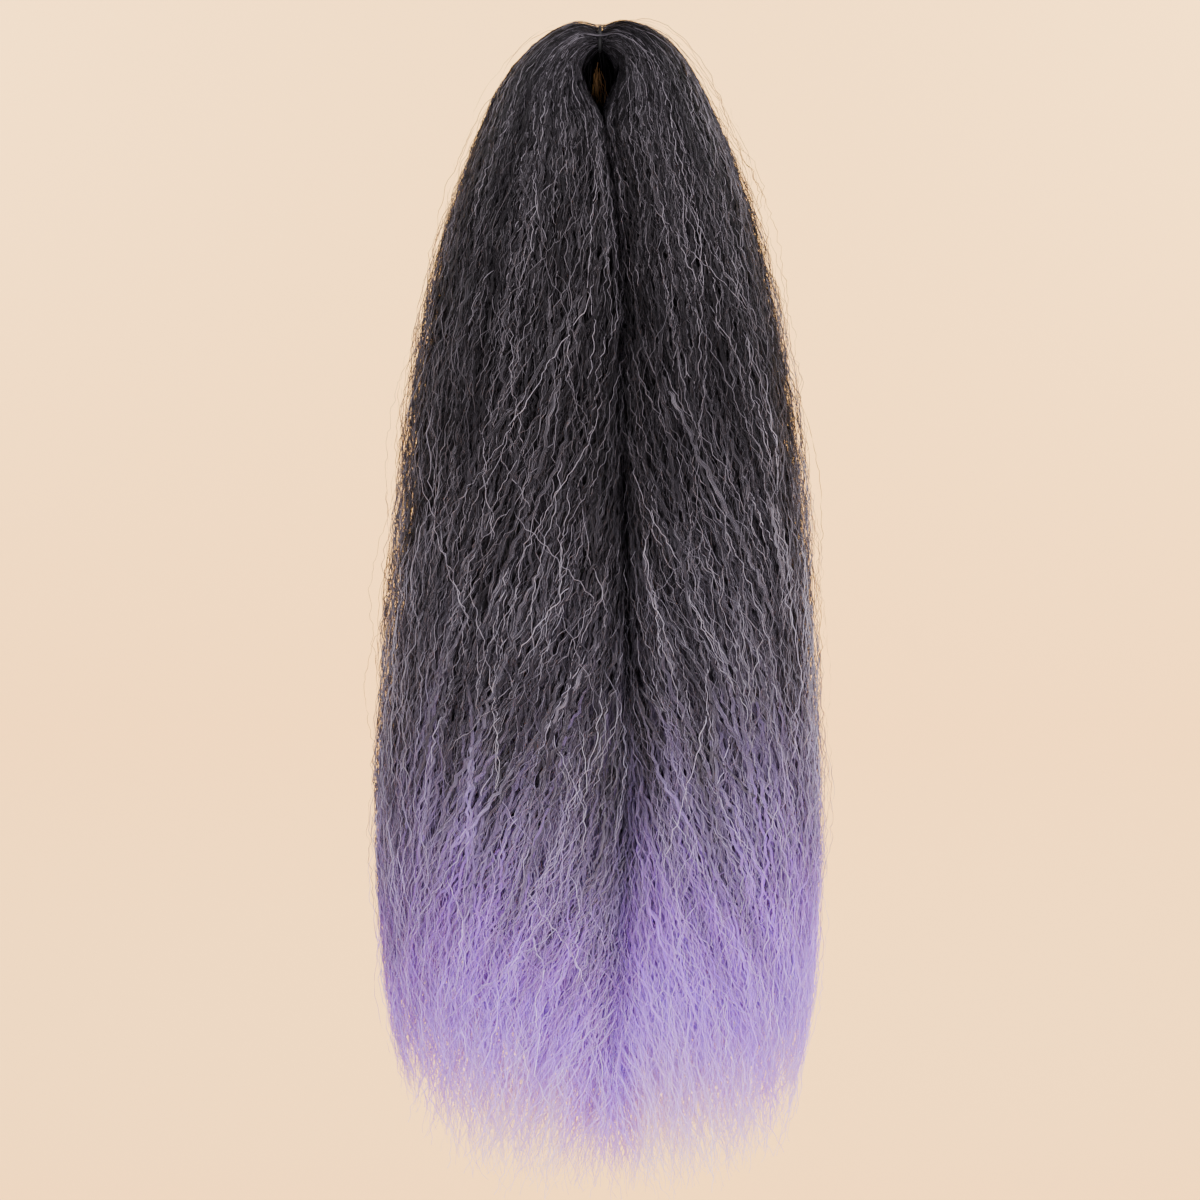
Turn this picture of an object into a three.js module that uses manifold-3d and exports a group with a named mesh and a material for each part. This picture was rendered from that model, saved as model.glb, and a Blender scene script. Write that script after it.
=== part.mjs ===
// Jumbo braiding hair: one hank of crimped synthetic fibre, folded in half. A cord tie pinches
// the hank at its middle, and the two halves hang from it as a left and a right fall. Under
// the tie the falls stand apart around the eye that a hook goes through. Below the eye they
// meet along a parting, and their outer locks end in free tips at uneven heights.
// Millimetres, +Z up, seen from -Y with +X to the right.
// Origin: the underside of the tie, at the top of the eye, where a hook bears.

import * as THREE from "three";
import { mergeVertices } from "three/addons/utils/BufferGeometryUtils.js";
import Module from "manifold-3d";

const wasm = await Module();
wasm.setup();

const FALL_DROP = 594; // origin down to the longest tips
const LEFT_REACH = 116; // tie plane out to the left fall's widest place
const RIGHT_REACH = 115.5; // tie plane out to the right fall's widest place
const HANK_DEPTH = 100; // front to back at the fullest height

const WAIST_DIAMETER = 10; // the hank where the tie pinches it
const TIE_THICKNESS = 2; // diameter of the tie's cord
const TIE_CLEARANCE = 0.3; // tie to the waist inside it
const NECK_GAP = 0.3; // between the falls where they meet inside the tie
const NOTCH_DEPTH = 1.4; // the shoulders rise this far over the tie

const EYE_WIDTH = 17; // the eye at its widest, at mid depth
const EYE_HEIGHT = 35; // origin down to where the falls meet
const PARTING_GAP = 1; // between the falls below the eye
const PARTING_DRIFT = 15; // how far right of the tie the parting wanders

const LOCK_COUNT = 12; // outer locks round each fall
const LOCK_THICKNESS = 16; // an outer lock at full size, through the fall's skin
const LOCK_RELIEF = 7; // how far the outer locks stand proud of the fall's body
const LOCK_SWAY = 5; // how far a lock wanders sideways as it goes down
const CORE_LOCK_COUNT = 5; // locks inside the bundle, seen as the middle tips
const CORE_LOCK_WIDTH = 24; // a core lock where it leaves the body

const WAIST_RADIUS = WAIST_DIAMETER / 2;
const WAIST_HEIGHT = TIE_THICKNESS + TIE_CLEARANCE + WAIST_RADIUS; // the waist's axis over the origin
const NECK_END = TIE_THICKNESS / 2 + TIE_CLEARANCE; // the falls widen beyond this distance from the tie plane
const CROWN_RISE = 2 * WAIST_HEIGHT + NOTCH_DEPTH; // origin up to the top of the shoulders

// The shoulders, one row for each section that turns from the tie to the falls. across is a
// share of the fall's reach, eyeAcross of half EYE_WIDTH, eyeDown of EYE_HEIGHT and depth of
// HANK_DEPTH. A rise is a share of CROWN_RISE over the origin and of EYE_HEIGHT under it.
const SHOULDER_ROWS = [
  { across: 0.1, leftRise: 0.98, rightRise: 1.0, eyeAcross: 0.52, eyeDown: 0.07, depth: 0.27 },
  { across: 0.22, leftRise: 0.68, rightRise: 0.84, eyeAcross: 0.92, eyeDown: 0.29, depth: 0.4 },
  { across: 0.335, leftRise: -0.01, rightRise: 0.24, eyeAcross: 1.0, eyeDown: 0.5, depth: 0.5 },
  { across: 0.463, leftRise: -0.57, rightRise: -0.53, eyeAcross: 0.7, eyeDown: 0.79, depth: 0.62 },
];

// The falls below the eye. leftAcross and rightAcross are shares of each fall's reach, outerDrop
// of FALL_DROP, innerDrop of the way from the eye's foot to the longest tips, parting of
// PARTING_DRIFT, and depth of HANK_DEPTH.
const FALL_ROWS = [
  { leftAcross: 0.548, rightAcross: 0.56, outerDrop: 0.073, innerDrop: 0.008, parting: 0.12, depth: 0.73 },
  { leftAcross: 0.653, rightAcross: 0.67, outerDrop: 0.132, innerDrop: 0.068, parting: 0.53, depth: 0.83 },
  { leftAcross: 0.772, rightAcross: 0.794, outerDrop: 0.221, innerDrop: 0.163, parting: 0.74, depth: 0.9 },
  { leftAcross: 0.859, rightAcross: 0.886, outerDrop: 0.319, innerDrop: 0.267, parting: 0.78, depth: 0.96 },
  { leftAcross: 0.922, rightAcross: 0.95, outerDrop: 0.435, innerDrop: 0.39, parting: 0.88, depth: 0.99 },
  { leftAcross: 0.978, rightAcross: 0.982, outerDrop: 0.569, innerDrop: 0.532, parting: 1.0, depth: 1.0 },
  { leftAcross: 1.0, rightAcross: 1.0, outerDrop: 0.703, innerDrop: 0.675, parting: 0.98, depth: 0.98 },
  { leftAcross: 0.978, rightAcross: 0.973, outerDrop: 0.796, innerDrop: 0.789, parting: 0.8, depth: 0.92 },
  { leftAcross: 0.89, rightAcross: 0.9, outerDrop: 0.872, innerDrop: 0.883, parting: 0.62, depth: 0.8 },
  { leftAcross: 0.7, rightAcross: 0.72, outerDrop: 0.937, innerDrop: 0.95, parting: 0.45, depth: 0.62 },
  { leftAcross: 0.39, rightAcross: 0.41, outerDrop: 0.985, innerDrop: 1.0, parting: 0.25, depth: 0.42 },
];

const OUTER_SQUARENESS = 2.15; // superellipse power on the side away from the parting
const INNER_SQUARENESS = 3.6; // and on the side that presses on the other fall
const LEAST_SIZE = 0.05; // no inset shrinks a section below this share of itself

// Places along a fall, as shares of its length from the tie to the longest tips.
const FULL_RELIEF_FROM = 0.3; // where the locks reach their full relief
const BODY_ROUND_FROM = 0.78; // where the fall's body starts to close
const BODY_END = 0.92;
const OUTER_TIP = 0.93; // where a lock on the outer edge ends
const INNER_TIP = 0.995; // where a lock by the parting ends
const START_STEP = 0.03; // a lock starts this much after the one beside it, and the fourth as the first
const TIP_STEP = 0.015; // and ends this much before
const CORE_START = 0.68;

// The course of one lock, in shares of its own length unless said.
const SWELL_FROM = -0.08; // it grows out of the skin between these
const SWELL_TO = 0.2;
const TAPER_FROM = 0.72;
const TAPER_POWER = 1.4;
const TIP_SIZE = 0.05; // what the taper leaves of its width and thickness
const NECK_THICKNESS = 0.25; // its thickness by the neck, as a share of its full one
const SWAY_WAVES = 1.7; // how often it wanders to and fro
const DRIFT = 0.35; // how far it drifts away from the parting, in radians round the fall
const LOCK_SPREAD = 1.2; // its width over its even share of the way round the fall
const CORE_DEPTH = 0.4; // how deep a core lock lies, as a share of the fall's half width
const STEP_CYCLE = 3;

const BODY_SIDES = 24;
const BODY_STATIONS = 22;
const LOCK_SIDES = 6;
const LOCK_STATIONS = 14;
const EDGE_STATIONS = 36; // along the trimmed inner edge of each fall
const CROWDING = 1.4; // power that crowds stations towards the tie, where the form turns fastest

// The sections of one fall: its outer and inner edge points in the XZ plane and its half depth.
function sectionsOf(side, reach) {
  const isLeft = side < 0;
  const riseOf = (share) => share * (share > 0 ? CROWN_RISE : EYE_HEIGHT);
  const eyeFootToTips = FALL_DROP - EYE_HEIGHT;
  const neck = [NECK_GAP / 2, NECK_END].map((x) => ({
    outer: new THREE.Vector2(side * x, WAIST_HEIGHT + WAIST_RADIUS),
    inner: new THREE.Vector2(side * x, WAIST_HEIGHT - WAIST_RADIUS),
    halfDepth: WAIST_RADIUS,
  }));
  const shoulders = SHOULDER_ROWS.map((row) => ({
    outer: new THREE.Vector2(side * reach * row.across, riseOf(isLeft ? row.leftRise : row.rightRise)),
    inner: new THREE.Vector2((side * EYE_WIDTH * row.eyeAcross) / 2, -EYE_HEIGHT * row.eyeDown),
    halfDepth: (HANK_DEPTH * row.depth) / 2,
  }));
  const falls = FALL_ROWS.map((row) => ({
    outer: new THREE.Vector2(
      side * reach * (isLeft ? row.leftAcross : row.rightAcross),
      -FALL_DROP * row.outerDrop,
    ),
    inner: new THREE.Vector2(
      PARTING_DRIFT * row.parting + (side * PARTING_GAP) / 2,
      -EYE_HEIGHT - eyeFootToTips * row.innerDrop,
    ),
    halfDepth: (HANK_DEPTH * row.depth) / 2,
  }));
  return [...neck, ...shoulders, ...falls];
}

// A smooth run through the sections. along goes from 0 at the tie to 1 at the longest tips.
class FallForm {
  constructor(side, reach) {
    this.side = side;
    const sections = sectionsOf(side, reach);
    const middles = sections.map((s) => s.outer.clone().add(s.inner).multiplyScalar(0.5));
    const lengths = [0];
    for (let i = 1; i < middles.length; i++) {
      lengths.push(lengths[i - 1] + middles[i].distanceTo(middles[i - 1]));
    }
    const places = lengths.map((length) => length / lengths.at(-1));
    const values = sections.flatMap((s) => [s.outer.x, s.outer.y, s.inner.x, s.inner.y, s.halfDepth]);
    this.neckEnd = places[1];
    this.curve = new THREE.CubicInterpolant(places, values, 5, new Float64Array(5));
  }

  // The section's frame at along: its middle, its half axes and the unit way from inner to outer edge.
  frameAt(along) {
    const [outerX, outerZ, innerX, innerZ, halfDepth] = this.curve.evaluate(along);
    const outer = new THREE.Vector3(outerX, 0, outerZ);
    const inner = new THREE.Vector3(innerX, 0, innerZ);
    const outwards = outer.clone().sub(inner);
    const halfWidth = outwards.length() / 2;
    const middle = outer.add(inner).multiplyScalar(0.5);
    return { middle, outwards: outwards.normalize(), halfWidth, halfDepth };
  }

  // A point of the section, with its outward normal. angle is 0 at the outer edge, a quarter turn
  // at the front, a half turn at the parting. inset shrinks both half axes by that length.
  pointAt(along, angle, inset = 0) {
    const frame = this.frameAt(along);
    const a = Math.max(frame.halfWidth - inset, frame.halfWidth * LEAST_SIZE);
    const b = Math.max(frame.halfDepth - inset, frame.halfDepth * LEAST_SIZE);
    const cos = Math.cos(angle);
    const sin = Math.sin(angle);
    const round = along <= this.neckEnd ? 2 : cos > 0 ? OUTER_SQUARENESS : INNER_SQUARENESS;
    const u = Math.sign(cos) * Math.abs(cos) ** (2 / round);
    const v = Math.sign(sin) * Math.abs(sin) ** (2 / round);
    const nu = (Math.sign(u) * Math.abs(u) ** (round - 1)) / a;
    const nv = (Math.sign(v) * Math.abs(v) ** (round - 1)) / b;
    const front = new THREE.Vector3(0, -1, 0);
    return {
      point: frame.middle.clone().addScaledVector(frame.outwards, a * u).addScaledVector(front, b * v),
      normal: frame.outwards.clone().multiplyScalar(nu).addScaledVector(front, nv).normalize(),
      tangent: frame.outwards.clone().multiplyScalar(-nv).addScaledVector(front, nu).normalize(),
    };
  }

  // The edge that faces the other fall, as a point of the XZ plane.
  innerEdgeAt(along) {
    const [, , x, z] = this.curve.evaluate(along);
    return new THREE.Vector2(x, z);
  }

  // 0 in the neck, growing to 1 where the locks have their full relief.
  fullnessAt(along) {
    return THREE.MathUtils.smoothstep(along, this.neckEnd, FULL_RELIEF_FROM);
  }
}

// A closed solid through rings of as many points each, capped flat at both ends.
function loft(rings) {
  const sides = rings[0].length;
  const positions = rings.flat().flatMap((p) => [p.x, p.y, p.z]);
  const faces = [];
  for (let r = 0; r + 1 < rings.length; r++) {
    for (let i = 0; i < sides; i++) {
      const a = r * sides + i;
      const b = r * sides + ((i + 1) % sides);
      faces.push(a, b, b + sides, a, b + sides, a + sides);
    }
  }
  const last = (rings.length - 1) * sides;
  for (let i = 1; i + 1 < sides; i++) {
    faces.push(0, i + 1, i);
    faces.push(last, last + i, last + i + 1);
  }
  const geometry = new THREE.BufferGeometry();
  geometry.setAttribute("position", new THREE.Float32BufferAttribute(positions, 3));
  geometry.setIndex(faces);
  return solidFrom(geometry);
}

function solidFrom(geometry) {
  geometry.deleteAttribute("normal");
  geometry.deleteAttribute("uv");
  const merged = mergeVertices(geometry, 1e-4);
  const mesh = new wasm.Mesh({
    numProp: 3,
    vertProperties: new Float32Array(merged.attributes.position.array),
    triVerts: new Uint32Array(merged.index.array),
  });
  const solid = new wasm.Manifold(mesh);
  return solid.volume() < 0 ? turnedOut(mesh) : solid;
}

function turnedOut(mesh) {
  const triVerts = mesh.triVerts.slice();
  for (let i = 0; i < triVerts.length; i += 3) {
    [triVerts[i + 1], triVerts[i + 2]] = [triVerts[i + 2], triVerts[i + 1]];
  }
  return new wasm.Manifold(new wasm.Mesh({ numProp: 3, vertProperties: mesh.vertProperties, triVerts }));
}

function geometryFrom(solid) {
  const { vertProperties, triVerts } = solid.getMesh();
  const geometry = new THREE.BufferGeometry();
  geometry.setAttribute("position", new THREE.BufferAttribute(vertProperties, 3));
  geometry.setIndex(mainShell(vertProperties, triVerts));
  geometry.computeVertexNormals();
  return geometry;
}

// The triangles of the largest shell. The fibre bundle is solid, so the small pockets closed in
// between fused locks are filled, and crumbs that the trimming at the parting leaves are dropped.
function mainShell(positions, triVerts) {
  const parent = Array.from({ length: positions.length / 3 }, (_, i) => i);
  const rootOf = (i) => {
    while (parent[i] !== i) i = parent[i] = parent[parent[i]];
    return i;
  };
  for (let t = 0; t < triVerts.length; t += 3) {
    parent[rootOf(triVerts[t + 1])] = rootOf(triVerts[t]);
    parent[rootOf(triVerts[t + 2])] = rootOf(triVerts[t]);
  }
  const corner = (i) => new THREE.Vector3().fromArray(positions, 3 * i);
  const volumes = new Map();
  for (let t = 0; t < triVerts.length; t += 3) {
    const shell = rootOf(triVerts[t]);
    const [a, b, c] = [corner(triVerts[t]), corner(triVerts[t + 1]), corner(triVerts[t + 2])];
    volumes.set(shell, (volumes.get(shell) ?? 0) + a.dot(b.cross(c)) / 6);
  }
  const [main] = [...volumes].reduce((a, b) => (b[1] > a[1] ? b : a));
  return [...triVerts].filter((_, i) => rootOf(triVerts[i - (i % 3)]) === main);
}

const turn = (share) => share * 2 * Math.PI;

// The dense body of a fall, from its flat neck end to its rounded foot.
function fallBody(form) {
  const stations = [0, form.neckEnd];
  for (let i = 1; i <= BODY_STATIONS; i++) {
    stations.push(THREE.MathUtils.lerp(form.neckEnd, BODY_END, (i / BODY_STATIONS) ** CROWDING));
  }
  const rings = stations.map((along) => {
    const closing = Math.max(0, (along - BODY_ROUND_FROM) / (BODY_END - BODY_ROUND_FROM));
    const size = Math.max(LEAST_SIZE, Math.sqrt(Math.max(0, 1 - closing ** 2)));
    const inset = LOCK_RELIEF * form.fullnessAt(along);
    const { middle } = form.frameAt(along);
    return Array.from({ length: BODY_SIDES }, (_, i) => {
      const { point } = form.pointAt(along, turn(i / BODY_SIDES), inset);
      return point.lerp(middle, 1 - size);
    });
  });
  return loft(rings);
}

// How wide and thick a lock is at share of its own length: it swells out of the skin, then tapers to its tip.
function lockSwell(share) {
  const rise = THREE.MathUtils.smoothstep(share, SWELL_FROM, SWELL_TO);
  const thinning = Math.max(0, (share - TAPER_FROM) / (1 - TAPER_FROM)) ** TAPER_POWER;
  return rise * (1 - (1 - TIP_SIZE) * thinning);
}

// One lock on the skin of a fall, from one angle to another, or deeper in the bundle for a core lock.
function lock(form, { start, tip, fromAngle, toAngle, halfWidth, depthShare, sway }) {
  const rings = [];
  for (let i = 0; i < LOCK_STATIONS; i++) {
    const share = i / (LOCK_STATIONS - 1);
    const along = THREE.MathUtils.lerp(start, tip, share);
    const frame = form.frameAt(along);
    const swell = lockSwell(share);
    const fullness = THREE.MathUtils.lerp(NECK_THICKNESS, 1, form.fullnessAt(along));
    const halfThickness = (LOCK_THICKNESS * fullness) / 2;
    const deep = Math.min(frame.halfWidth, frame.halfDepth) * depthShare;
    const angle = THREE.MathUtils.lerp(fromAngle, toAngle, share);
    const { point, normal, tangent } = form.pointAt(along, angle, deep + halfThickness);
    const aside = sway * fullness * Math.sin(turn(share * SWAY_WAVES + fromAngle));
    rings.push(
      Array.from({ length: LOCK_SIDES }, (_, k) => {
        const around = turn((k + 0.5) / LOCK_SIDES);
        return point
          .clone()
          .addScaledVector(tangent, aside + halfWidth(frame) * swell * Math.cos(around))
          .addScaledVector(normal, halfThickness * swell * Math.sin(around));
      }),
    );
  }
  return loft(rings);
}

// Where a lock at this angle ends: the outer ones first, the ones by the parting last.
function tipAt(angle, index) {
  const inwards = (1 - Math.cos(angle)) / 2;
  return THREE.MathUtils.lerp(OUTER_TIP, INNER_TIP, inwards) - TIP_STEP * (index % STEP_CYCLE);
}

function outerLocks(form) {
  return Array.from({ length: LOCK_COUNT }, (_, k) => {
    const toAngle = turn((k + 0.5) / LOCK_COUNT);
    // Fibres drift outwards as they go down, away from the parting on the front and the back.
    const drift = DRIFT * Math.sin(toAngle);
    return lock(form, {
      start: form.neckEnd + START_STEP * (k % STEP_CYCLE),
      tip: tipAt(toAngle, k),
      fromAngle: toAngle + drift,
      toAngle,
      halfWidth: (frame) => (LOCK_SPREAD * Math.PI * (frame.halfWidth + frame.halfDepth)) / (2 * LOCK_COUNT),
      depthShare: 0,
      sway: LOCK_SWAY,
    });
  });
}

function coreLocks(form) {
  return Array.from({ length: CORE_LOCK_COUNT }, (_, k) => {
    const angle = turn((k + 0.5) / CORE_LOCK_COUNT);
    return lock(form, {
      start: CORE_START,
      tip: 1 - TIP_STEP * (k % STEP_CYCLE),
      fromAngle: angle,
      toAngle: angle,
      halfWidth: () => CORE_LOCK_WIDTH / 2,
      depthShare: CORE_DEPTH,
      sway: 0,
    });
  });
}

// All that lies past a fall's inner edge, well over its top and under its tips. Locks are trimmed
// there, so they leave the eye and the parting open.
function beyondInnerEdge(form) {
  const edge = [new THREE.Vector2((form.side * NECK_GAP) / 2, 2 * CROWN_RISE)];
  for (let i = 0; i <= EDGE_STATIONS; i++) edge.push(form.innerEdgeAt((i / EDGE_STATIONS) ** CROWDING));
  edge.push(new THREE.Vector2(edge.at(-1).x, -2 * FALL_DROP));
  const far = -form.side * (LEFT_REACH + RIGHT_REACH);
  return loft(
    edge.map(({ x, y: z }) => [
      new THREE.Vector3(x, -HANK_DEPTH, z),
      new THREE.Vector3(far, -HANK_DEPTH, z),
      new THREE.Vector3(far, HANK_DEPTH, z),
      new THREE.Vector3(x, HANK_DEPTH, z),
    ]),
  );
}

function fallGeometry(side, reach) {
  const form = new FallForm(side, reach);
  const pieces = [fallBody(form), ...outerLocks(form), ...coreLocks(form)];
  const fused = pieces.reduce((whole, piece) => whole.add(piece));
  return geometryFrom(fused.subtract(beyondInnerEdge(form)));
}

// The tie: a plain ring of elastic cord round the waist, on an axis along X.
function tieGeometry() {
  const ringRadius = WAIST_RADIUS + TIE_CLEARANCE + TIE_THICKNESS / 2;
  return new THREE.TorusGeometry(ringRadius, TIE_THICKNESS / 2, 8, 28).rotateY(Math.PI / 2);
}

const fibre = new THREE.MeshStandardMaterial({ color: 0x3a373c, roughness: 0.62, metalness: 0 });
const elastic = new THREE.MeshStandardMaterial({ color: 0x141316, roughness: 0.8, metalness: 0 });

const hank = new THREE.Group();

const leftFall = new THREE.Mesh(fallGeometry(-1, LEFT_REACH), fibre.clone());
leftFall.name = "left_fall";
hank.add(leftFall);

const rightFall = new THREE.Mesh(fallGeometry(1, RIGHT_REACH), fibre.clone());
rightFall.name = "right_fall";
hank.add(rightFall);

const tie = new THREE.Mesh(tieGeometry(), elastic);
tie.name = "tie";
tie.position.z = WAIST_HEIGHT;
hank.add(tie);

export default hank;
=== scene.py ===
"""Looks of a tied hank of jumbo braiding hair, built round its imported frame.

The hank hangs from its tie. Each fall gets a dense core that replaces its plain solid, and over
it thousands of crimped fibres that fade from charcoal to lilac. All places are in metres.
"""

import logging
import math
from dataclasses import asdict, dataclass, field
from enum import Enum

import bpy
import numpy as np
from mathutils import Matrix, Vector


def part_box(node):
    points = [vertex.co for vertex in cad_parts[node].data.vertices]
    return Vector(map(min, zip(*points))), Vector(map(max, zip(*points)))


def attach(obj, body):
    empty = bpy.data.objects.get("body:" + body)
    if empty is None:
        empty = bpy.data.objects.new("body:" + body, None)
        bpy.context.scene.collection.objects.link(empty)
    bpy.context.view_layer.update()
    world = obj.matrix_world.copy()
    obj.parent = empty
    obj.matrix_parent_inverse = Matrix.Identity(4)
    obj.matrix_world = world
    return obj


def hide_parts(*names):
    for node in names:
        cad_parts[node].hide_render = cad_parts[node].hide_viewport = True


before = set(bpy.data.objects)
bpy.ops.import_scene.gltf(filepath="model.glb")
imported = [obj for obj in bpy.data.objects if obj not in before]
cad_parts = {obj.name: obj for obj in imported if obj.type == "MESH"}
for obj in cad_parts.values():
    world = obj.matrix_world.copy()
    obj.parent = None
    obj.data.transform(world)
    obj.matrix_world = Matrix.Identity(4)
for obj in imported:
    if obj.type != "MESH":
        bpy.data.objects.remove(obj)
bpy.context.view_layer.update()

BODY = "root"
MM = 0.001
FIBRE_MAP = "OFBake"  # its u is the fibre's column of the colour chart, its v the share down the hank
# The chart runs from deep tones, which paint shade, to bright ones, which paint highlights.
COLUMNS = 48  # columns of the colour chart, from deep tones to bright; each is as wide as a fibre
COLUMN_MARGIN = 0.03  # share of a column that a fibre leaves free on each side

# Rows of a share down the hank, the deepest fibres' colour, dark with painted shade, and the brightest ones',
# light with painted highlights.
DyeWithPaintedLight = tuple[tuple[float, str, str], ...]

log = logging.getLogger("hank")


class Side(Enum):
    """The two falls, by the sign of their X."""

    LEFT = -1
    RIGHT = 1


class Face(Enum):
    """The two faces of the hank, by the sign of the angle round a fall."""

    FRONT = 1
    BACK = -1


def linear(hex_colour: str) -> tuple[float, float, float, float]:
    """Turns an sRGB hex colour to linear.

    Args:
        hex_colour: Six hex digits.

    Returns:
        Linear red, green, blue and an alpha of 1.
    """
    parts = [int(hex_colour[i:i + 2], 16) / 255 for i in (0, 2, 4)]
    r, g, b = [c / 12.92 if c <= 0.04045 else ((c + 0.055) / 1.055) ** 2.4 for c in parts]
    return (r, g, b, 1.0)


def node(tree: bpy.types.NodeTree, kind: str, inputs: dict | None = None, **settings) -> bpy.types.Node:
    """Adds a node to a shader or geometry tree.

    Args:
        tree: The tree that gets the node.
        kind: The node's type name.
        inputs: Socket name or number, to a socket to link from or a value to set.
        **settings: Properties of the node itself.

    Returns:
        The new node.
    """
    new = tree.nodes.new(kind)
    for key, value in settings.items():
        setattr(new, key, value)
    for key, value in (inputs or {}).items():
        if isinstance(value, bpy.types.NodeSocket):
            tree.links.new(value, new.inputs[key])
        else:
            new.inputs[key].default_value = value
    return new


def smoothstep(low: float, high: float, x: np.ndarray) -> np.ndarray:
    """Rises smoothly from 0 at low to 1 at high."""
    t = np.clip((x - low) / (high - low), 0, 1)
    return t * t * (3 - 2 * t)


def unit(vectors: np.ndarray) -> np.ndarray:
    """Gives the vectors on the last axis length 1."""
    return vectors / np.linalg.norm(vectors, axis=-1, keepdims=True)


def empty_material(name: str) -> bpy.types.Material:
    """Adds a material with no node in its tree yet.

    Args:
        name: The material's name.

    Returns:
        The material.
    """
    material = bpy.data.materials.new(name)
    material.use_nodes = True
    material.node_tree.nodes.clear()
    return material


def dye_and_painted_light_colours(
    tree: bpy.types.NodeTree, share: bpy.types.NodeSocket, dye: DyeWithPaintedLight
) -> tuple[bpy.types.NodeSocket, bpy.types.NodeSocket]:
    """Reads a dye at a share down the hank.

    Args:
        tree: The shader tree.
        share: The share.
        dye: The dye's rows.

    Returns:
        The colours of the deepest fibres there, with painted shade, and of the brightest, with painted
        highlights.
    """
    colours = []
    for column in (1, 2):
        ramp = node(tree, "ShaderNodeValToRGB", {"Fac": share})
        stops = ramp.color_ramp.elements
        first, *middle, last = dye
        for stop, row in ((stops[0], first), (stops[-1], last)):
            stop.position = row[0]
            stop.color = linear(row[column])
        for row in middle:
            stops.new(row[0]).color = linear(row[column])
        colours.append(ramp.outputs["Color"])
    return colours[0], colours[1]


def placed(name: str, data: bpy.types.ID) -> bpy.types.Object:
    """Adds an object to the scene, at the origin.

    Args:
        name: The object's name.
        data: Its mesh, camera or light.

    Returns:
        The object.
    """
    made = bpy.data.objects.new(name, data)
    bpy.context.scene.collection.objects.link(made)
    return made


def finish_piece(piece: bpy.types.Object, replaced: str | None = None) -> bpy.types.Object:
    """Hangs a finished piece on the hank's body.

    Args:
        piece: The piece, in place.
        replaced: The frame's node that the piece stands for, if any.

    Returns:
        The piece.
    """
    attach(piece, BODY)
    if replaced:
        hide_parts(replaced)
    log.info("%s: %d faces", piece.name, len(piece.data.polygons))
    return piece


# Finishes


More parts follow.
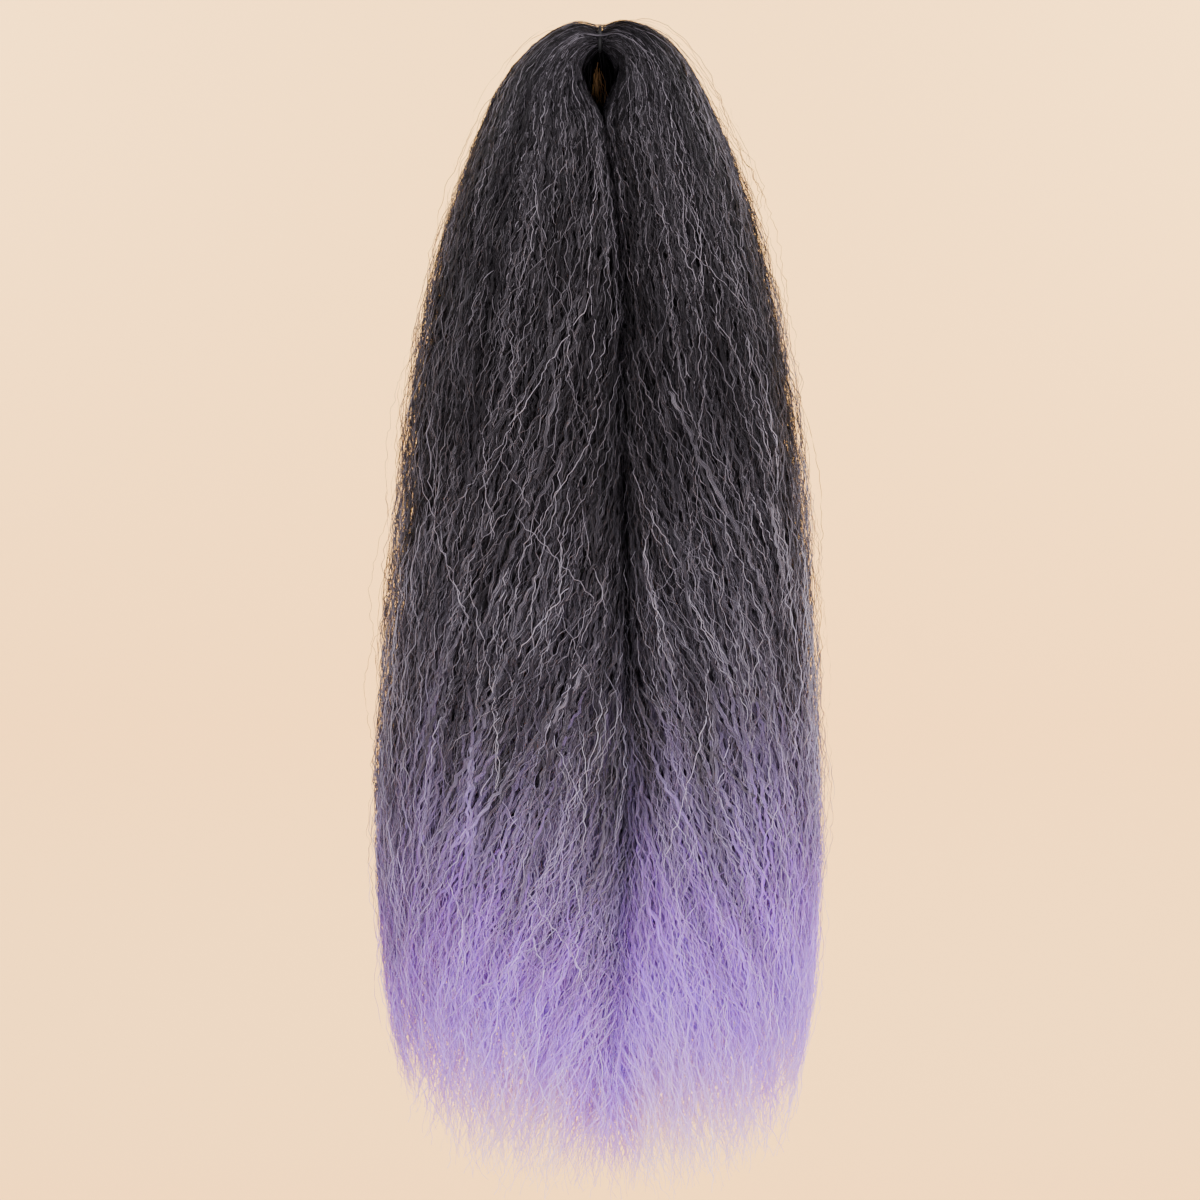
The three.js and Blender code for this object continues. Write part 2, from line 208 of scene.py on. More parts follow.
@dataclass(frozen=True)
class CrimpedFibre:
    """Modacrylic braiding fibre, drawn, crimped and dip-dyed, single or in small bundles.

    To the eye it is a fine, slightly glossy filament: cool grey where light catches a bend, near
    black in the gaps, with the dye turning to a milky lilac over the last third. Its colours paint
    much of that light: bright tones, glints and the bright middle of each line are painted
    highlights, and deep tones and dark flanks painted shade.
    """

    name: str = "modacrylic_fibre"
    lines: float = 1.0  # fine lines that a ribbon shows side by side
    wobble: float = 0.0  # how far they wander, in widths of a line
    wobble_span: float = 6 * MM
    # Painted shade: the flanks of each line are darkened.
    painted_flank_shade: float = 0.8  # how much their flanks deepen, as a gamma above 1
    ridge: float = 0.12 * MM  # how far they stand out
    # Painted glint: a line's tone rises as if it caught the light.
    glint: float = 0.0  # how far a line's tone rises where it catches the light
    glint_span: float = 22 * MM
    glint_noise: tuple[float, float] = (0.57, 0.7)  # noise where a glint starts, and where it is full
    passing: float = 0.0  # share of the light that the pale ends let through
    pale: tuple[float, float] = (0.7, 0.9)  # shares down the hank where that starts, and is full
    uneven: float = 0.05  # how much earlier or later a fibre takes up the dye, as a share of the hank
    streaks: float = 9.0  # how often that changes across the chart
    hank_length: float = 600 * MM
    roughness: float = 0.55
    specular: float = 0.03
    # Each row's deep colour paints shade and its bright colour highlights; the change down the rows is the
    # dye.
    dye: DyeWithPaintedLight = (
        (0.00, "110f13", "a59fa9"),
        (0.30, "120f14", "a7a1ac"),
        (0.40, "19161d", "bcb5c2"),
        (0.48, "201c26", "c3bdcc"),
        (0.57, "3d3742", "c8c2d3"),
        (0.62, "554d5c", "c4bcd6"),
        (0.68, "85779a", "cbbfe2"),
        (0.73, "997cbb", "d0c0ee"),
        (0.78, "b686e2", "dbc6fa"),
        (0.84, "c491fc", "e0cbff"),
        (0.90, "d3a7ff", "e8d6ff"),
        (0.95, "e2c2ff", "f2e4ff"),
        (1.00, "ecd4ff", "f8eeff"),
    )

    def build(self) -> bpy.types.Material:
        """Builds the material, which reads only the fibre map.

        Returns:
            The material.
        """
        material = empty_material(self.name)
        tree = material.node_tree
        uv = node(tree, "ShaderNodeUVMap", uv_map=FIBRE_MAP)
        split = node(tree, "ShaderNodeSeparateXYZ", {0: uv.outputs[0]})
        # Each fibre takes up the dye a little earlier or later than the ones beside it.
        streak = node(
            tree,
            "ShaderNodeTexNoise",
            {"Vector": uv.outputs[0], "Scale": self.streaks, "Detail": 1.0},
        )
        spread = node(
            tree,
            "ShaderNodeMapRange",
            {"Value": streak.outputs["Fac"], "To Min": -self.uneven, "To Max": self.uneven},
        )
        share = node(tree, "ShaderNodeMath", {0: split.outputs[1], 1: spread.outputs[0]}, operation="ADD")
        deep, bright = dye_and_painted_light_colours(tree, share.outputs[0], self.dye)

        # Each line of a strand gets a painted highlight along its middle, and painted shade that deepens its
        # colour towards the flanks.
        columns = node(
            tree, "ShaderNodeMath", {0: split.outputs[0], 1: float(COLUMNS)}, operation="MULTIPLY"
        )
        across = node(tree, "ShaderNodeMath", {0: columns.outputs[0]}, operation="FRACT")
        bends = (1.3 * COLUMNS, self.hank_length / self.wobble_span, 1.0)
        drawn = node(tree, "ShaderNodeMapping", {"Vector": uv.outputs[0], "Scale": bends})
        noise = node(tree, "ShaderNodeTexNoise", {"Vector": drawn.outputs[0], "Scale": 1.0, "Detail": 1.5})
        sway = node(tree, "ShaderNodeMath", {0: noise.outputs["Fac"], 1: self.wobble}, operation="MULTIPLY")
        place = node(
            tree,
            "ShaderNodeMath",
            {0: across.outputs[0], 1: self.lines, 2: sway.outputs[0]},
            operation="MULTIPLY_ADD",
        )
        turn = node(tree, "ShaderNodeMath", {0: place.outputs[0], 1: math.pi}, operation="MULTIPLY")
        sine = node(tree, "ShaderNodeMath", {0: turn.outputs[0]}, operation="SINE")
        ridge = node(tree, "ShaderNodeMath", {0: sine.outputs[0], 1: sine.outputs[0]}, operation="MULTIPLY")
        # Here and there one line of a bundle gets a painted glint.
        spots = (self.lines * COLUMNS, self.hank_length / self.glint_span, 1.0)
        apart = node(tree, "ShaderNodeMapping", {"Vector": uv.outputs[0], "Scale": spots})
        chance = node(tree, "ShaderNodeTexNoise", {"Vector": apart.outputs[0], "Scale": 1.0, "Detail": 0.0})
        faint, full = self.glint_noise
        lit = node(
            tree,
            "ShaderNodeMapRange",
            {"Value": chance.outputs["Fac"], "From Min": faint, "From Max": full, "To Max": self.glint},
        )
        tone = node(
            tree,
            "ShaderNodeMath",
            {0: lit.outputs[0], 1: ridge.outputs[0], 2: split.outputs[0]},
            operation="MULTIPLY_ADD",
            use_clamp=True,
        )
        flat = node(tree, "ShaderNodeMix", {0: tone.outputs[0], 6: deep, 7: bright}, data_type="RGBA")
        # The flanks' painted shade is a gamma on the colour, strongest away from each line's middle.
        power = node(
            tree,
            "ShaderNodeMapRange",
            {"Value": ridge.outputs[0], "To Min": 1 + self.painted_flank_shade, "To Max": 1.0},
        )
        colour = node(tree, "ShaderNodeGamma", {"Color": flat.outputs[2], "Gamma": power.outputs[0]})
        bump = node(tree, "ShaderNodeBump", {"Height": ridge.outputs[0], "Distance": self.ridge})
        shader = node(
            tree,
            "ShaderNodeBsdfPrincipled",
            {
                "Base Color": colour.outputs[0],
                "Roughness": self.roughness,
                "Specular IOR Level": self.specular,
                "Normal": bump.outputs[0],
            },
        )
        # The pale ends let some of the light behind them through.
        start, end = self.pale
        free = node(
            tree,
            "ShaderNodeMapRange",
            {"Value": share.outputs[0], "From Min": start, "From Max": end, "To Max": self.passing},
        )
        through = node(tree, "ShaderNodeBsdfTranslucent", {"Color": colour.outputs[0]})
        surface = node(
            tree, "ShaderNodeMixShader", {0: free.outputs[0], 1: shader.outputs[0], 2: through.outputs[0]}
        )
        node(tree, "ShaderNodeOutputMaterial", {"Surface": surface.outputs[0]})
        return material


@dataclass(frozen=True)
class PlainFinish:
    """A finish that is the same all over."""

    name: str
    colour: str
    roughness: float

    def build(self) -> bpy.types.Material:
        """Builds the material with its numbers on the shader's own sockets.

        Returns:
            The material.
        """
        material = bpy.data.materials.new(self.name)
        material.use_nodes = True
        shader = material.node_tree.nodes["Principled BSDF"]
        shader.inputs["Base Color"].default_value = linear(self.colour)
        shader.inputs["Roughness"].default_value = self.roughness
        return material


@dataclass(frozen=True)
class BacklitFibre(PlainFinish):
    """The same fibre, with the light that comes through it from behind painted into its colour: to the eye a
    fine golden brown.
    """

    name: str = "backlit_modacrylic_fibre"
    # Golden brown that paints the light coming through from behind.
    colour: str = "8a6438"
    roughness: float = 0.6


@dataclass(frozen=True)
class StudioPaper(PlainFinish):
    """Background paper: matt, warm cream, with no grain at this distance."""

    name: str = "cream_paper"
    colour: str = "ffce83"
    roughness: float = 0.95


@dataclass(frozen=True)
class TieElastic:
    """Covered elastic cord. To the eye it is matt black with a fine rib from its woven cover."""

    name: str = "covered_elastic"
    colour: str = "0d0c0f"
    rib_colour: str = "1c1b1f"
    roughness: float = 0.8
    rib: float = 0.45 * MM
    relief: float = 0.1 * MM

    def build(self) -> bpy.types.Material:
        """Builds the material from a fine rib round the cord.

        Returns:
            The material.
        """
        material = empty_material(self.name)
        tree = material.node_tree
        coords = node(tree, "ShaderNodeTexCoord")
        # The wave texture turns by 20 radians a unit.
        rib = node(
            tree,
            "ShaderNodeTexWave",
            {"Vector": coords.outputs["Object"], "Scale": 1 / (20 * self.rib), "Distortion": 2.0},
            bands_direction="DIAGONAL",
        )
        tone = node(
            tree,
            "ShaderNodeMix",
            {0: rib.outputs["Fac"], 6: linear(self.colour), 7: linear(self.rib_colour)},
            data_type="RGBA",
        )
        bump = node(tree, "ShaderNodeBump", {"Height": rib.outputs["Fac"], "Distance": self.relief})
        shader = node(
            tree,
            "ShaderNodeBsdfPrincipled",
            {"Base Color": tone.outputs[2], "Roughness": self.roughness, "Normal": bump.outputs[0]},
        )
        node(tree, "ShaderNodeOutputMaterial", {"Surface": shader.outputs[0]})
        return material


# The falls' form


@dataclass
class FallShape:
    """The smooth skin of one fall, as sections from the tie down to the tips.

    A section turns from upright inside the tie to level below the eye. Places on the skin are
    given as along, 0 at the tie to 1 at the tips, and angle: 0 at the outer edge, a quarter turn
    at the front, a half turn at the parting, and negative on the back.
    """

    side: Side
    reach: float
    drop: float
    half_depth: float
    rise: float
    waist_height: float
    waist_radius: float = 5 * MM
    waist_places: tuple[float, float] = (0.15 * MM, 1.3 * MM)
    eye_half_width: float = 8.5 * MM
    eye_height: float = 35 * MM
    drift: float = 15 * MM
    outer_squareness: float = 2.15
    inner_squareness: float = 3.2
    squared_from: float = 0.06  # place along the fall from which sections are fully squared
    relief_from: float = 0.25  # and from which a full inset fits
    tie_relief: float = 0.12  # the share of one that fits inside the tie
    least_half_width: float = 0.04  # share of a section's width that an inset always leaves
    least_half_depth: float = 0.08

    # across, left rise, right rise, eye across, eye down, depth: shares of the sizes above.
    SHOULDERS = (
        (0.100, 0.98, 1.00, 0.66, 0.07, 0.27),
        (0.220, 0.68, 0.84, 1.04, 0.27, 0.40),
        (0.335, -0.01, 0.24, 0.92, 0.48, 0.50),
        (0.463, -0.57, -0.53, 0.46, 0.76, 0.62),
    )
    # left across, right across, outer drop, inner drop, drift, overlap of the falls, depth.
    CURTAIN = (
        (0.548, 0.560, 0.073, 0.066, 0.12, 0.10, 0.73),
        (0.653, 0.670, 0.132, 0.123, 0.53, 0.12, 0.83),
        (0.772, 0.794, 0.221, 0.212, 0.74, 0.12, 0.90),
        (0.859, 0.886, 0.319, 0.310, 0.78, 0.12, 0.96),
        (0.922, 0.950, 0.435, 0.426, 0.88, 0.12, 0.99),
        (0.978, 0.982, 0.569, 0.560, 1.00, 0.14, 1.00),
        (1.000, 1.000, 0.703, 0.700, 0.98, 0.20, 0.98),
        (0.975, 0.980, 0.796, 0.796, 0.80, 0.35, 0.95),
        (0.930, 0.950, 0.875, 0.875, 0.62, 0.60, 0.90),
        (0.890, 0.910, 0.940, 0.940, 0.45, 0.80, 0.84),
        (0.850, 0.870, 1.000, 1.000, 0.25, 0.90, 0.78),
    )

    knots: np.ndarray = field(init=False)
    values: np.ndarray = field(init=False)
    slopes: np.ndarray = field(init=False)
    length: float = field(init=False)

    def __post_init__(self) -> None:
        """Lays out the sections and the slopes of a smooth run through them."""
        self.values = np.array(self._rows())
        middles = (self.values[:, 0:2] + self.values[:, 2:4]) / 2
        steps = np.linalg.norm(np.diff(middles, axis=0), axis=1)
        self.length = float(steps.sum())
        self.knots = np.concatenate([[0], np.cumsum(steps)]) / self.length
        gaps = np.diff(self.knots)[:, None]
        rates = np.diff(self.values, axis=0) / gaps
        inner = (rates[1:] * gaps[:-1] + rates[:-1] * gaps[1:]) / (gaps[1:] + gaps[:-1])
        self.slopes = np.concatenate([rates[:1], inner, rates[-1:]])

    def _rows(self) -> list[tuple[float, ...]]:
        """Works the sections out from the tables.

        Returns:
            Outer x and z, inner x and z and half depth of each section.
        """
        s = self.side.value
        left = self.side is Side.LEFT
        top, foot = self.waist_height + self.waist_radius, self.waist_height - self.waist_radius
        rows = [(s * x, top, s * x, foot, self.waist_radius) for x in self.waist_places]
        for across, left_rise, right_rise, eye_across, eye_down, depth in self.SHOULDERS:
            share = left_rise if left else right_rise
            outer = s * self.reach * across, share * (self.rise if share > 0 else self.eye_height)
            inner = s * self.eye_half_width * eye_across, -self.eye_height * eye_down
            rows.append((*outer, *inner, self.half_depth * depth))
        for left_across, right_across, outer_drop, inner_drop, drift, overlap, depth in self.CURTAIN:
            outer = s * self.reach * (left_across if left else right_across), -self.drop * outer_drop
            inner = self.drift * (drift - s * overlap), -self.drop * inner_drop
            rows.append((*outer, *inner, self.half_depth * depth))
        return rows

    def section(self, along: np.ndarray) -> np.ndarray:
        """Reads the smooth run.

        Args:
            along: Places from 0 to 1, in any shape.

        Returns:
            Outer x and z, inner x and z and half depth, on a last axis of five.
        """
        along = np.clip(along, 0, 1)
        i = np.clip(np.searchsorted(self.knots, along, side="right") - 1, 0, len(self.knots) - 2)
        gap = (self.knots[i + 1] - self.knots[i])[..., None]
        t = (along - self.knots[i])[..., None] / gap
        v0, v1 = self.values[i], self.values[i + 1]
        m0, m1 = self.slopes[i] * gap, self.slopes[i + 1] * gap
        return (
            (2 * t**3 - 3 * t**2 + 1) * v0
            + (t**3 - 2 * t**2 + t) * m0
            + (3 * t**2 - 2 * t**3) * v1
            + (t**3 - t**2) * m1
        )

    def relief(self, along: np.ndarray) -> np.ndarray:
        """The share of a full inset that fits at along: little inside the tie, 1 below the shoulders."""
        return self.tie_relief + (1 - self.tie_relief) * smoothstep(0, self.relief_from, along)

    def place(self, along: np.ndarray, angle: np.ndarray, inset: np.ndarray) -> tuple[np.ndarray, np.ndarray]:
        """Finds points on or under the skin.

        Args:
            along: From 0 at the tie to 1 at the tips.
            angle: Round the section, in radians.
            inset: Depth under the skin, which shrinks where the section does.

        Returns:
            The points and the unit ways out of the skin there, each with a last axis of three.
        """
        values = self.section(along)
        outer, inner = values[..., 0:2], values[..., 2:4]
        across = outer - inner
        width = np.linalg.norm(across, axis=-1)
        way = across / width[..., None]
        inset = inset * self.relief(along)
        a = np.maximum(width / 2 - inset, self.least_half_width * width)
        b = np.maximum(values[..., 4] - inset, self.least_half_depth * values[..., 4])
        cos, sin = np.cos(angle), np.sin(angle)
        power = np.where(cos > 0, self.outer_squareness, self.inner_squareness)
        power = 2 + (power - 2) * smoothstep(0.0, self.squared_from, along)
        out = (np.abs(cos) ** power + np.abs(sin) ** power) ** (-1 / power)
        u, v = cos * out, sin * out
        nu = np.sign(u) * np.abs(u) ** (power - 1) / a
        nv = np.sign(v) * np.abs(v) ** (power - 1) / b
        middle = (outer + inner) / 2
        x, z = middle[..., 0] + way[..., 0] * a * u, middle[..., 1] + way[..., 1] * a * u
        normals = np.stack([way[..., 0] * nu, -nv, way[..., 1] * nu], -1)
        return np.stack([x, -b * v, z], -1), unit(normals)

    def inside(self, along: np.ndarray, across: np.ndarray, front: np.ndarray) -> np.ndarray:
        """Finds points all through the fall.

        Args:
            along: From 0 at the tie to 1 at the tips.
            across: From -1 at the parting to 1 at the outer edge.
            front: From -1 on the back to 1 on the front.

        Returns:
            The points, with a last axis of three.
        """
        values = self.section(along)
        outer, inner = values[..., 0:2], values[..., 2:4]
        middle, half = (outer + inner) / 2, (outer - inner) / 2
        power = np.where(across > 0, self.outer_squareness, self.inner_squareness)
        room = (1 - np.clip(np.abs(across), 0, 0.999) ** power) ** (1 / power)
        flat = middle + half * across[..., None]
        return np.stack([flat[..., 0], -values[..., 4] * front * room, flat[..., 1]], -1)

    def girth(self, along: np.ndarray) -> np.ndarray:
        """Mean radius of the section, to turn a sideways step into an angle."""
        values = self.section(along)
        return (np.linalg.norm(values[..., 0:2] - values[..., 2:4], axis=-1) / 2 + values[..., 4]) / 2

    def even_angles(self, shares: np.ndarray, along: float = 0.6) -> np.ndarray:
        """Turns even shares of the way from outer edge to parting into angles.

        Args:
            shares: From 0 at the outer edge to 1 at the parting.
            along: The section whose rim is shared out.

        Returns:
            Angles from 0 to half a turn.
        """
        steps, short = 400, 0.001
        angles = np.linspace(short, math.pi - short, steps)
        rim, _ = self.place(np.full(steps, along), angles, np.zeros(steps))
        run = np.concatenate([[0], np.cumsum(np.linalg.norm(np.diff(rim, axis=0), axis=1))])
        return np.interp(shares * run[-1], run, angles)


# Fibres


@dataclass
class GuideLines:
    """Smooth lines that fibres are crimped from, all with as many points.

    points and outwards are (fibres, points, 3). share, girth and crimp are (fibres, points), and
    column, pitch and phase hold one value for each fibre.
    """

    points: np.ndarray
    outwards: np.ndarray
    share: np.ndarray
    girth: np.ndarray
    crimp: np.ndarray
    column: np.ndarray
    pitch: np.ndarray
    phase: np.ndarray

    EACH_POINT = ("share", "girth", "crimp")
    EACH_FIBRE = ("column", "pitch", "phase")

    def __post_init__(self) -> None:
        """Moves each fibre's tone to the near edge of its column of the colour chart."""
        self.column = (np.floor(np.clip(self.column, 0, 0.999) * COLUMNS) + COLUMN_MARGIN) / COLUMNS

    def mesh(self, name: str) -> bpy.types.Mesh:
        """Makes the lines a mesh of edges, with what the crimping tree reads as attributes.

        Args:
            name: The mesh's name.

        Returns:
            The mesh.
        """
        count, steps, _ = self.points.shape
        numbers = np.arange(count * steps).reshape(count, steps)
        edges = np.stack([numbers[:, :-1].ravel(), numbers[:, 1:].ravel()], -1)
        mesh = bpy.data.meshes.new(name)
        mesh.vertices.add(count * steps)
        mesh.vertices.foreach_set("co", self.points.astype(np.float32).ravel())
        mesh.edges.add(len(edges))
        mesh.edges.foreach_set("vertices", edges.astype(np.int32).ravel())
        out = mesh.attributes.new("outwards", "FLOAT_VECTOR", "POINT")
        out.data.foreach_set("vector", self.outwards.astype(np.float32).ravel())
        spread = {key: getattr(self, key) for key in self.EACH_POINT}
        spread |= {key: np.repeat(getattr(self, key)[:, None], steps, 1) for key in self.EACH_FIBRE}
        for key, values in spread.items():
            attribute = mesh.attributes.new(key, "FLOAT", "POINT")
            attribute.data.foreach_set("value", values.astype(np.float32).ravel())
        mesh.update()
        return mesh

    @staticmethod
    def join(parts: list["GuideLines"]) -> "GuideLines":
        """Joins sets of lines that have as many points each."""
        names = ("points", "outwards", *GuideLines.EACH_POINT, *GuideLines.EACH_FIBRE)
        return GuideLines(**{n: np.concatenate([getattr(p, n) for p in parts]) for n in names})


@dataclass(frozen=True)
class CrimpTree:
    """Geometry Nodes that crimp guide lines and sweep them into fibres.

    Each fibre is resampled to even steps, waved sideways and in and out of the skin, wandered by
    noise, set off at random, turned on its own axis and swept to a ribbon.
    """

    width: float = 0.32 * MM
    step: float = 2.7 * MM
    depth: float = 0.6 * MM  # of the wave, sideways
    lift: float = 0.6 * MM  # of the wave, in and out
    kink: float = 0.7 * MM
    wander: float = 4.2 * MM
    wander_span: float = 21 * MM
    twist: float = 3.2  # how far a ribbon turns, in radians

    READS = ("outwards", *GuideLines.EACH_POINT, *GuideLines.EACH_FIBRE, "edge")
    KINK_SEED = 4
    FAR = 97.0  # sets the noises of two fibres well apart

    def build(self, material: bpy.types.Material) -> bpy.types.NodeTree:
        """Builds the tree, with one named input for each size.

        Args:
            material: The finish that the fibres get.

        Returns:
            The tree.
        """
        tree = bpy.data.node_groups.new("crimped_ribbons", "GeometryNodeTree")
        tree.interface.new_socket("Geometry", in_out="INPUT", socket_type="NodeSocketGeometry")
        tree.interface.new_socket("Geometry", in_out="OUTPUT", socket_type="NodeSocketGeometry")
        for size in asdict(self):
            tree.interface.new_socket(size, in_out="INPUT", socket_type="NodeSocketFloat")
        given = node(tree, "NodeGroupInput").outputs
        read = {}
        for name in self.READS:
            form = "FLOAT_VECTOR" if name == "outwards" else "FLOAT"
            attribute = node(tree, "GeometryNodeInputNamedAttribute", {"Name": name}, data_type=form)
            read[name] = attribute.outputs[0]

        curves = node(tree, "GeometryNodeMeshToCurve", {"Mesh": given["Geometry"]})
        even = node(
            tree,
            "GeometryNodeResampleCurve",
            {"Curve": curves.outputs[0], "Length": given["step"]},
            mode="LENGTH",
        )
        offset, turn = self._waves(tree, given, read)
        waved = node(tree, "GeometryNodeSetPosition", {"Geometry": even.outputs[0], "Offset": offset})
        faced = node(
            tree,
            "GeometryNodeSetCurveNormal",
            {"Curve": waved.outputs[0], "Normal": read["outwards"]},
            mode="FREE",
        )
        turned = node(tree, "GeometryNodeSetCurveTilt", {"Curve": faced.outputs[0], "Tilt": turn})
        girth = node(tree, "ShaderNodeMath", {0: read["girth"], 1: given["width"]}, operation="MULTIPLY")
        swept = node(
            tree,
            "GeometryNodeCurveToMesh",
            {
                "Curve": turned.outputs[0],
                "Profile Curve": self._outline(tree),
                "Scale": girth.outputs[0],
                "Fill Caps": True,
            },
        )
        # A ribbon's two edges stand at the two sides of its column of the colour chart.
        filled = (1 - 2 * COLUMN_MARGIN) / COLUMNS
        column = node(
            tree, "ShaderNodeMath", {0: read["edge"], 1: filled, 2: read["column"]}, operation="MULTIPLY_ADD"
        )
        chart = node(tree, "ShaderNodeCombineXYZ", {0: column.outputs[0], 1: read["share"]})
        mapped = node(
            tree,
            "GeometryNodeStoreNamedAttribute",
            {"Geometry": swept.outputs[0], "Name": FIBRE_MAP, "Value": chart.outputs[0]},
            data_type="FLOAT2",
            domain="CORNER",
        )
        smooth = node(tree, "GeometryNodeSetShadeSmooth", {"Geometry": mapped.outputs[0]})
        real = node(tree, "GeometryNodeRealizeInstances", {"Geometry": smooth.outputs[0]})
        dressed = node(tree, "GeometryNodeSetMaterial", {"Geometry": real.outputs[0], "Material": material})
        node(tree, "NodeGroupOutput", {"Geometry": dressed.outputs[0]})
        return tree

    def _waves(
        self, tree: bpy.types.NodeTree, given: bpy.types.NodeOutputs, read: dict[str, bpy.types.NodeSocket]
    ) -> tuple[bpy.types.NodeSocket, bpy.types.NodeSocket]:
        """Works out how far each point of a fibre moves off its guide line, and its turn.

        Args:
            tree: The tree.
            given: The tree's own inputs.
            read: The guide lines' attributes.

        Returns:
            The offset and the turn.
        """
        along = node(tree, "GeometryNodeSplineParameter").outputs["Length"]
        turns = node(tree, "ShaderNodeMath", {0: along, 1: read["pitch"]}, operation="DIVIDE")
        wave = node(
            tree,
            "ShaderNodeMath",
            {0: turns.outputs[0], 1: 2 * math.pi, 2: read["phase"]},
            operation="MULTIPLY_ADD",
        )
        sine = node(tree, "ShaderNodeMath", {0: wave.outputs[0]}, operation="SINE")
        cosine = node(tree, "ShaderNodeMath", {0: wave.outputs[0]}, operation="COSINE")

        # Noise along each fibre makes the wave uneven, and carries it to and fro between its neighbours.
        spans = node(tree, "ShaderNodeMath", {0: along, 1: given["wander_span"]}, operation="DIVIDE")
        own = node(tree, "ShaderNodeMath", {0: read["phase"], 1: self.FAR}, operation="MULTIPLY")
        spot = node(tree, "ShaderNodeCombineXYZ", {0: spans.outputs[0], 1: own.outputs[0], 2: 0.5})
        noise = node(tree, "ShaderNodeTexNoise", {"Vector": spot.outputs[0], "Scale": 1.0, "Detail": 3.5})
        centred = node(
            tree,
            "ShaderNodeVectorMath",
            {0: noise.outputs["Color"], 1: (0.5, 0.5, 0.5)},
            operation="SUBTRACT",
        )
        sizes = node(
            tree, "ShaderNodeCombineXYZ", {0: given["wander"], 1: given["wander"], 2: given["twist"]}
        )
        sized = node(
            tree, "ShaderNodeVectorMath", {0: centred.outputs[0], 1: sizes.outputs[0]}, operation="MULTIPLY"
        )
        # Each point is also set off by itself, which gives the sharp kinks of crimped fibre.
        chance = node(
            tree,
            "FunctionNodeRandomValue",
            {0: (-1.0, -1.0, 0.0), 1: (1.0, 1.0, 0.0), "Seed": self.KINK_SEED},
            data_type="FLOAT_VECTOR",
        )
        kinked = node(
            tree, "ShaderNodeVectorMath", {0: chance.outputs[0], "Scale": given["kink"]}, operation="SCALE"
        )
        moved = node(
            tree, "ShaderNodeVectorMath", {0: sized.outputs[0], 1: kinked.outputs[0]}, operation="ADD"
        )
        parts = node(tree, "ShaderNodeSeparateXYZ", {0: moved.outputs[0]})

        sway, heave = (
            node(
                tree,
                "ShaderNodeMath",
                {0: swing.outputs[0], 1: given[size], 2: parts.outputs[axis]},
                operation="MULTIPLY_ADD",
            )
            for swing, size, axis in ((sine, "depth", 0), (cosine, "lift", 1))
        )
        tangent = node(tree, "GeometryNodeInputTangent").outputs[0]
        sideways = node(
            tree, "ShaderNodeVectorMath", {0: tangent, 1: read["outwards"]}, operation="CROSS_PRODUCT"
        )
        by_side, by_out = (
            node(tree, "ShaderNodeVectorMath", {0: way, "Scale": size.outputs[0]}, operation="SCALE")
            for way, size in ((sideways.outputs[0], sway), (read["outwards"], heave))
        )
        both = node(
            tree, "ShaderNodeVectorMath", {0: by_side.outputs[0], 1: by_out.outputs[0]}, operation="ADD"
        )
        offset = node(
            tree, "ShaderNodeVectorMath", {0: both.outputs[0], "Scale": read["crimp"]}, operation="SCALE"
        )
        return offset.outputs[0], parts.outputs[2]

    def _outline(self, tree: bpy.types.NodeTree) -> bpy.types.NodeSocket:
        """Draws the outline that is swept, of width 1, with each point's share of the way round it.

        Args:
            tree: The tree.

        Returns:
            The outline's curve.
        """
        outline = node(
            tree, "GeometryNodeCurvePrimitiveLine", {"Start": (0.0, -0.5, 0.0), "End": (0.0, 0.5, 0.0)}
        )
        edge = node(tree, "GeometryNodeSplineParameter").outputs["Factor"]
        marked = node(
            tree,
            "GeometryNodeStoreNamedAttribute",
            {"Geometry": outline.outputs[0], "Name": "edge", "Value": edge},
            data_type="FLOAT",
            domain="POINT",
        )
        return marked.outputs[0]

    def sweep(self, name: str, lines: GuideLines, material: bpy.types.Material) -> bpy.types.Object:
        """Crimps and sweeps a set of lines.

        Args:
            name: The piece's name.
            lines: The guide lines.
            material: The finish.

        Returns:
            A plain mesh object of the fibres.
        """
        guide = placed(name + "_guide", lines.mesh(name + "_guide"))
        tree = self.build(material)
        modifier = guide.modifiers.new("crimp", "NODES")
        modifier.node_group = tree
        sizes = asdict(self)
        for item in tree.interface.items_tree:
            if item.in_out == "INPUT" and item.name in sizes:
                modifier[item.identifier] = sizes[item.name]
        bpy.context.view_layer.update()
        evaluated = guide.evaluated_get(bpy.context.evaluated_depsgraph_get())
        mesh = bpy.data.meshes.new_from_object(evaluated)
        mesh.name = name
        for extra in self.READS:
            if extra in mesh.attributes:
                mesh.attributes.remove(mesh.attributes[extra])
        piece = placed(name, mesh)
        bpy.data.objects.remove(guide)
        return piece


@dataclass(frozen=True)
class Layer:
    """How one layer of fibres lies, and the painted shade and highlights of its tones."""

    top: float  # how deep under the skin its topmost fibres lie
    depth: float  # how thick it is
    dim: float  # middling tone of its dim fibres
    # Bright tones are painted highlights; dim ones fall with depth as painted shade.
    bright: float  # share of its topmost fibres that are bright
    slant: float = 0.0  # spread of the fibres' own slants, in degrees
    low_width: float = 1.0  # width low down, as a share of that above
    crossing: float = 0.14  # share of the fibres that run against the common lean

    # Tones of the fibres that get a painted highlight.
    BRIGHT_TONES = (0.3, 0.8)

    def tones(self, rng: np.random.Generator, depth: np.ndarray) -> np.ndarray:
        """Tones of fibres: most dim, and some of those on top bright, as painted highlights.

        Args:
            rng: The fall's own random numbers.
            depth: Place of each fibre in the layer, 0 on top to 1 at the bottom.

        Returns:
            Tones from 0 to 1.
        """
        count = depth.size
        # Both fall off with depth, which paints shade on the deeper fibres.
        tone = self.dim * (1.35 - 0.9 * depth) * rng.lognormal(0, 0.4, count)
        picked = rng.random(count) < self.bright * (1.6 - 1.2 * depth)
        return np.clip(np.where(picked, rng.uniform(*self.BRIGHT_TONES, count), tone), 0, 1)


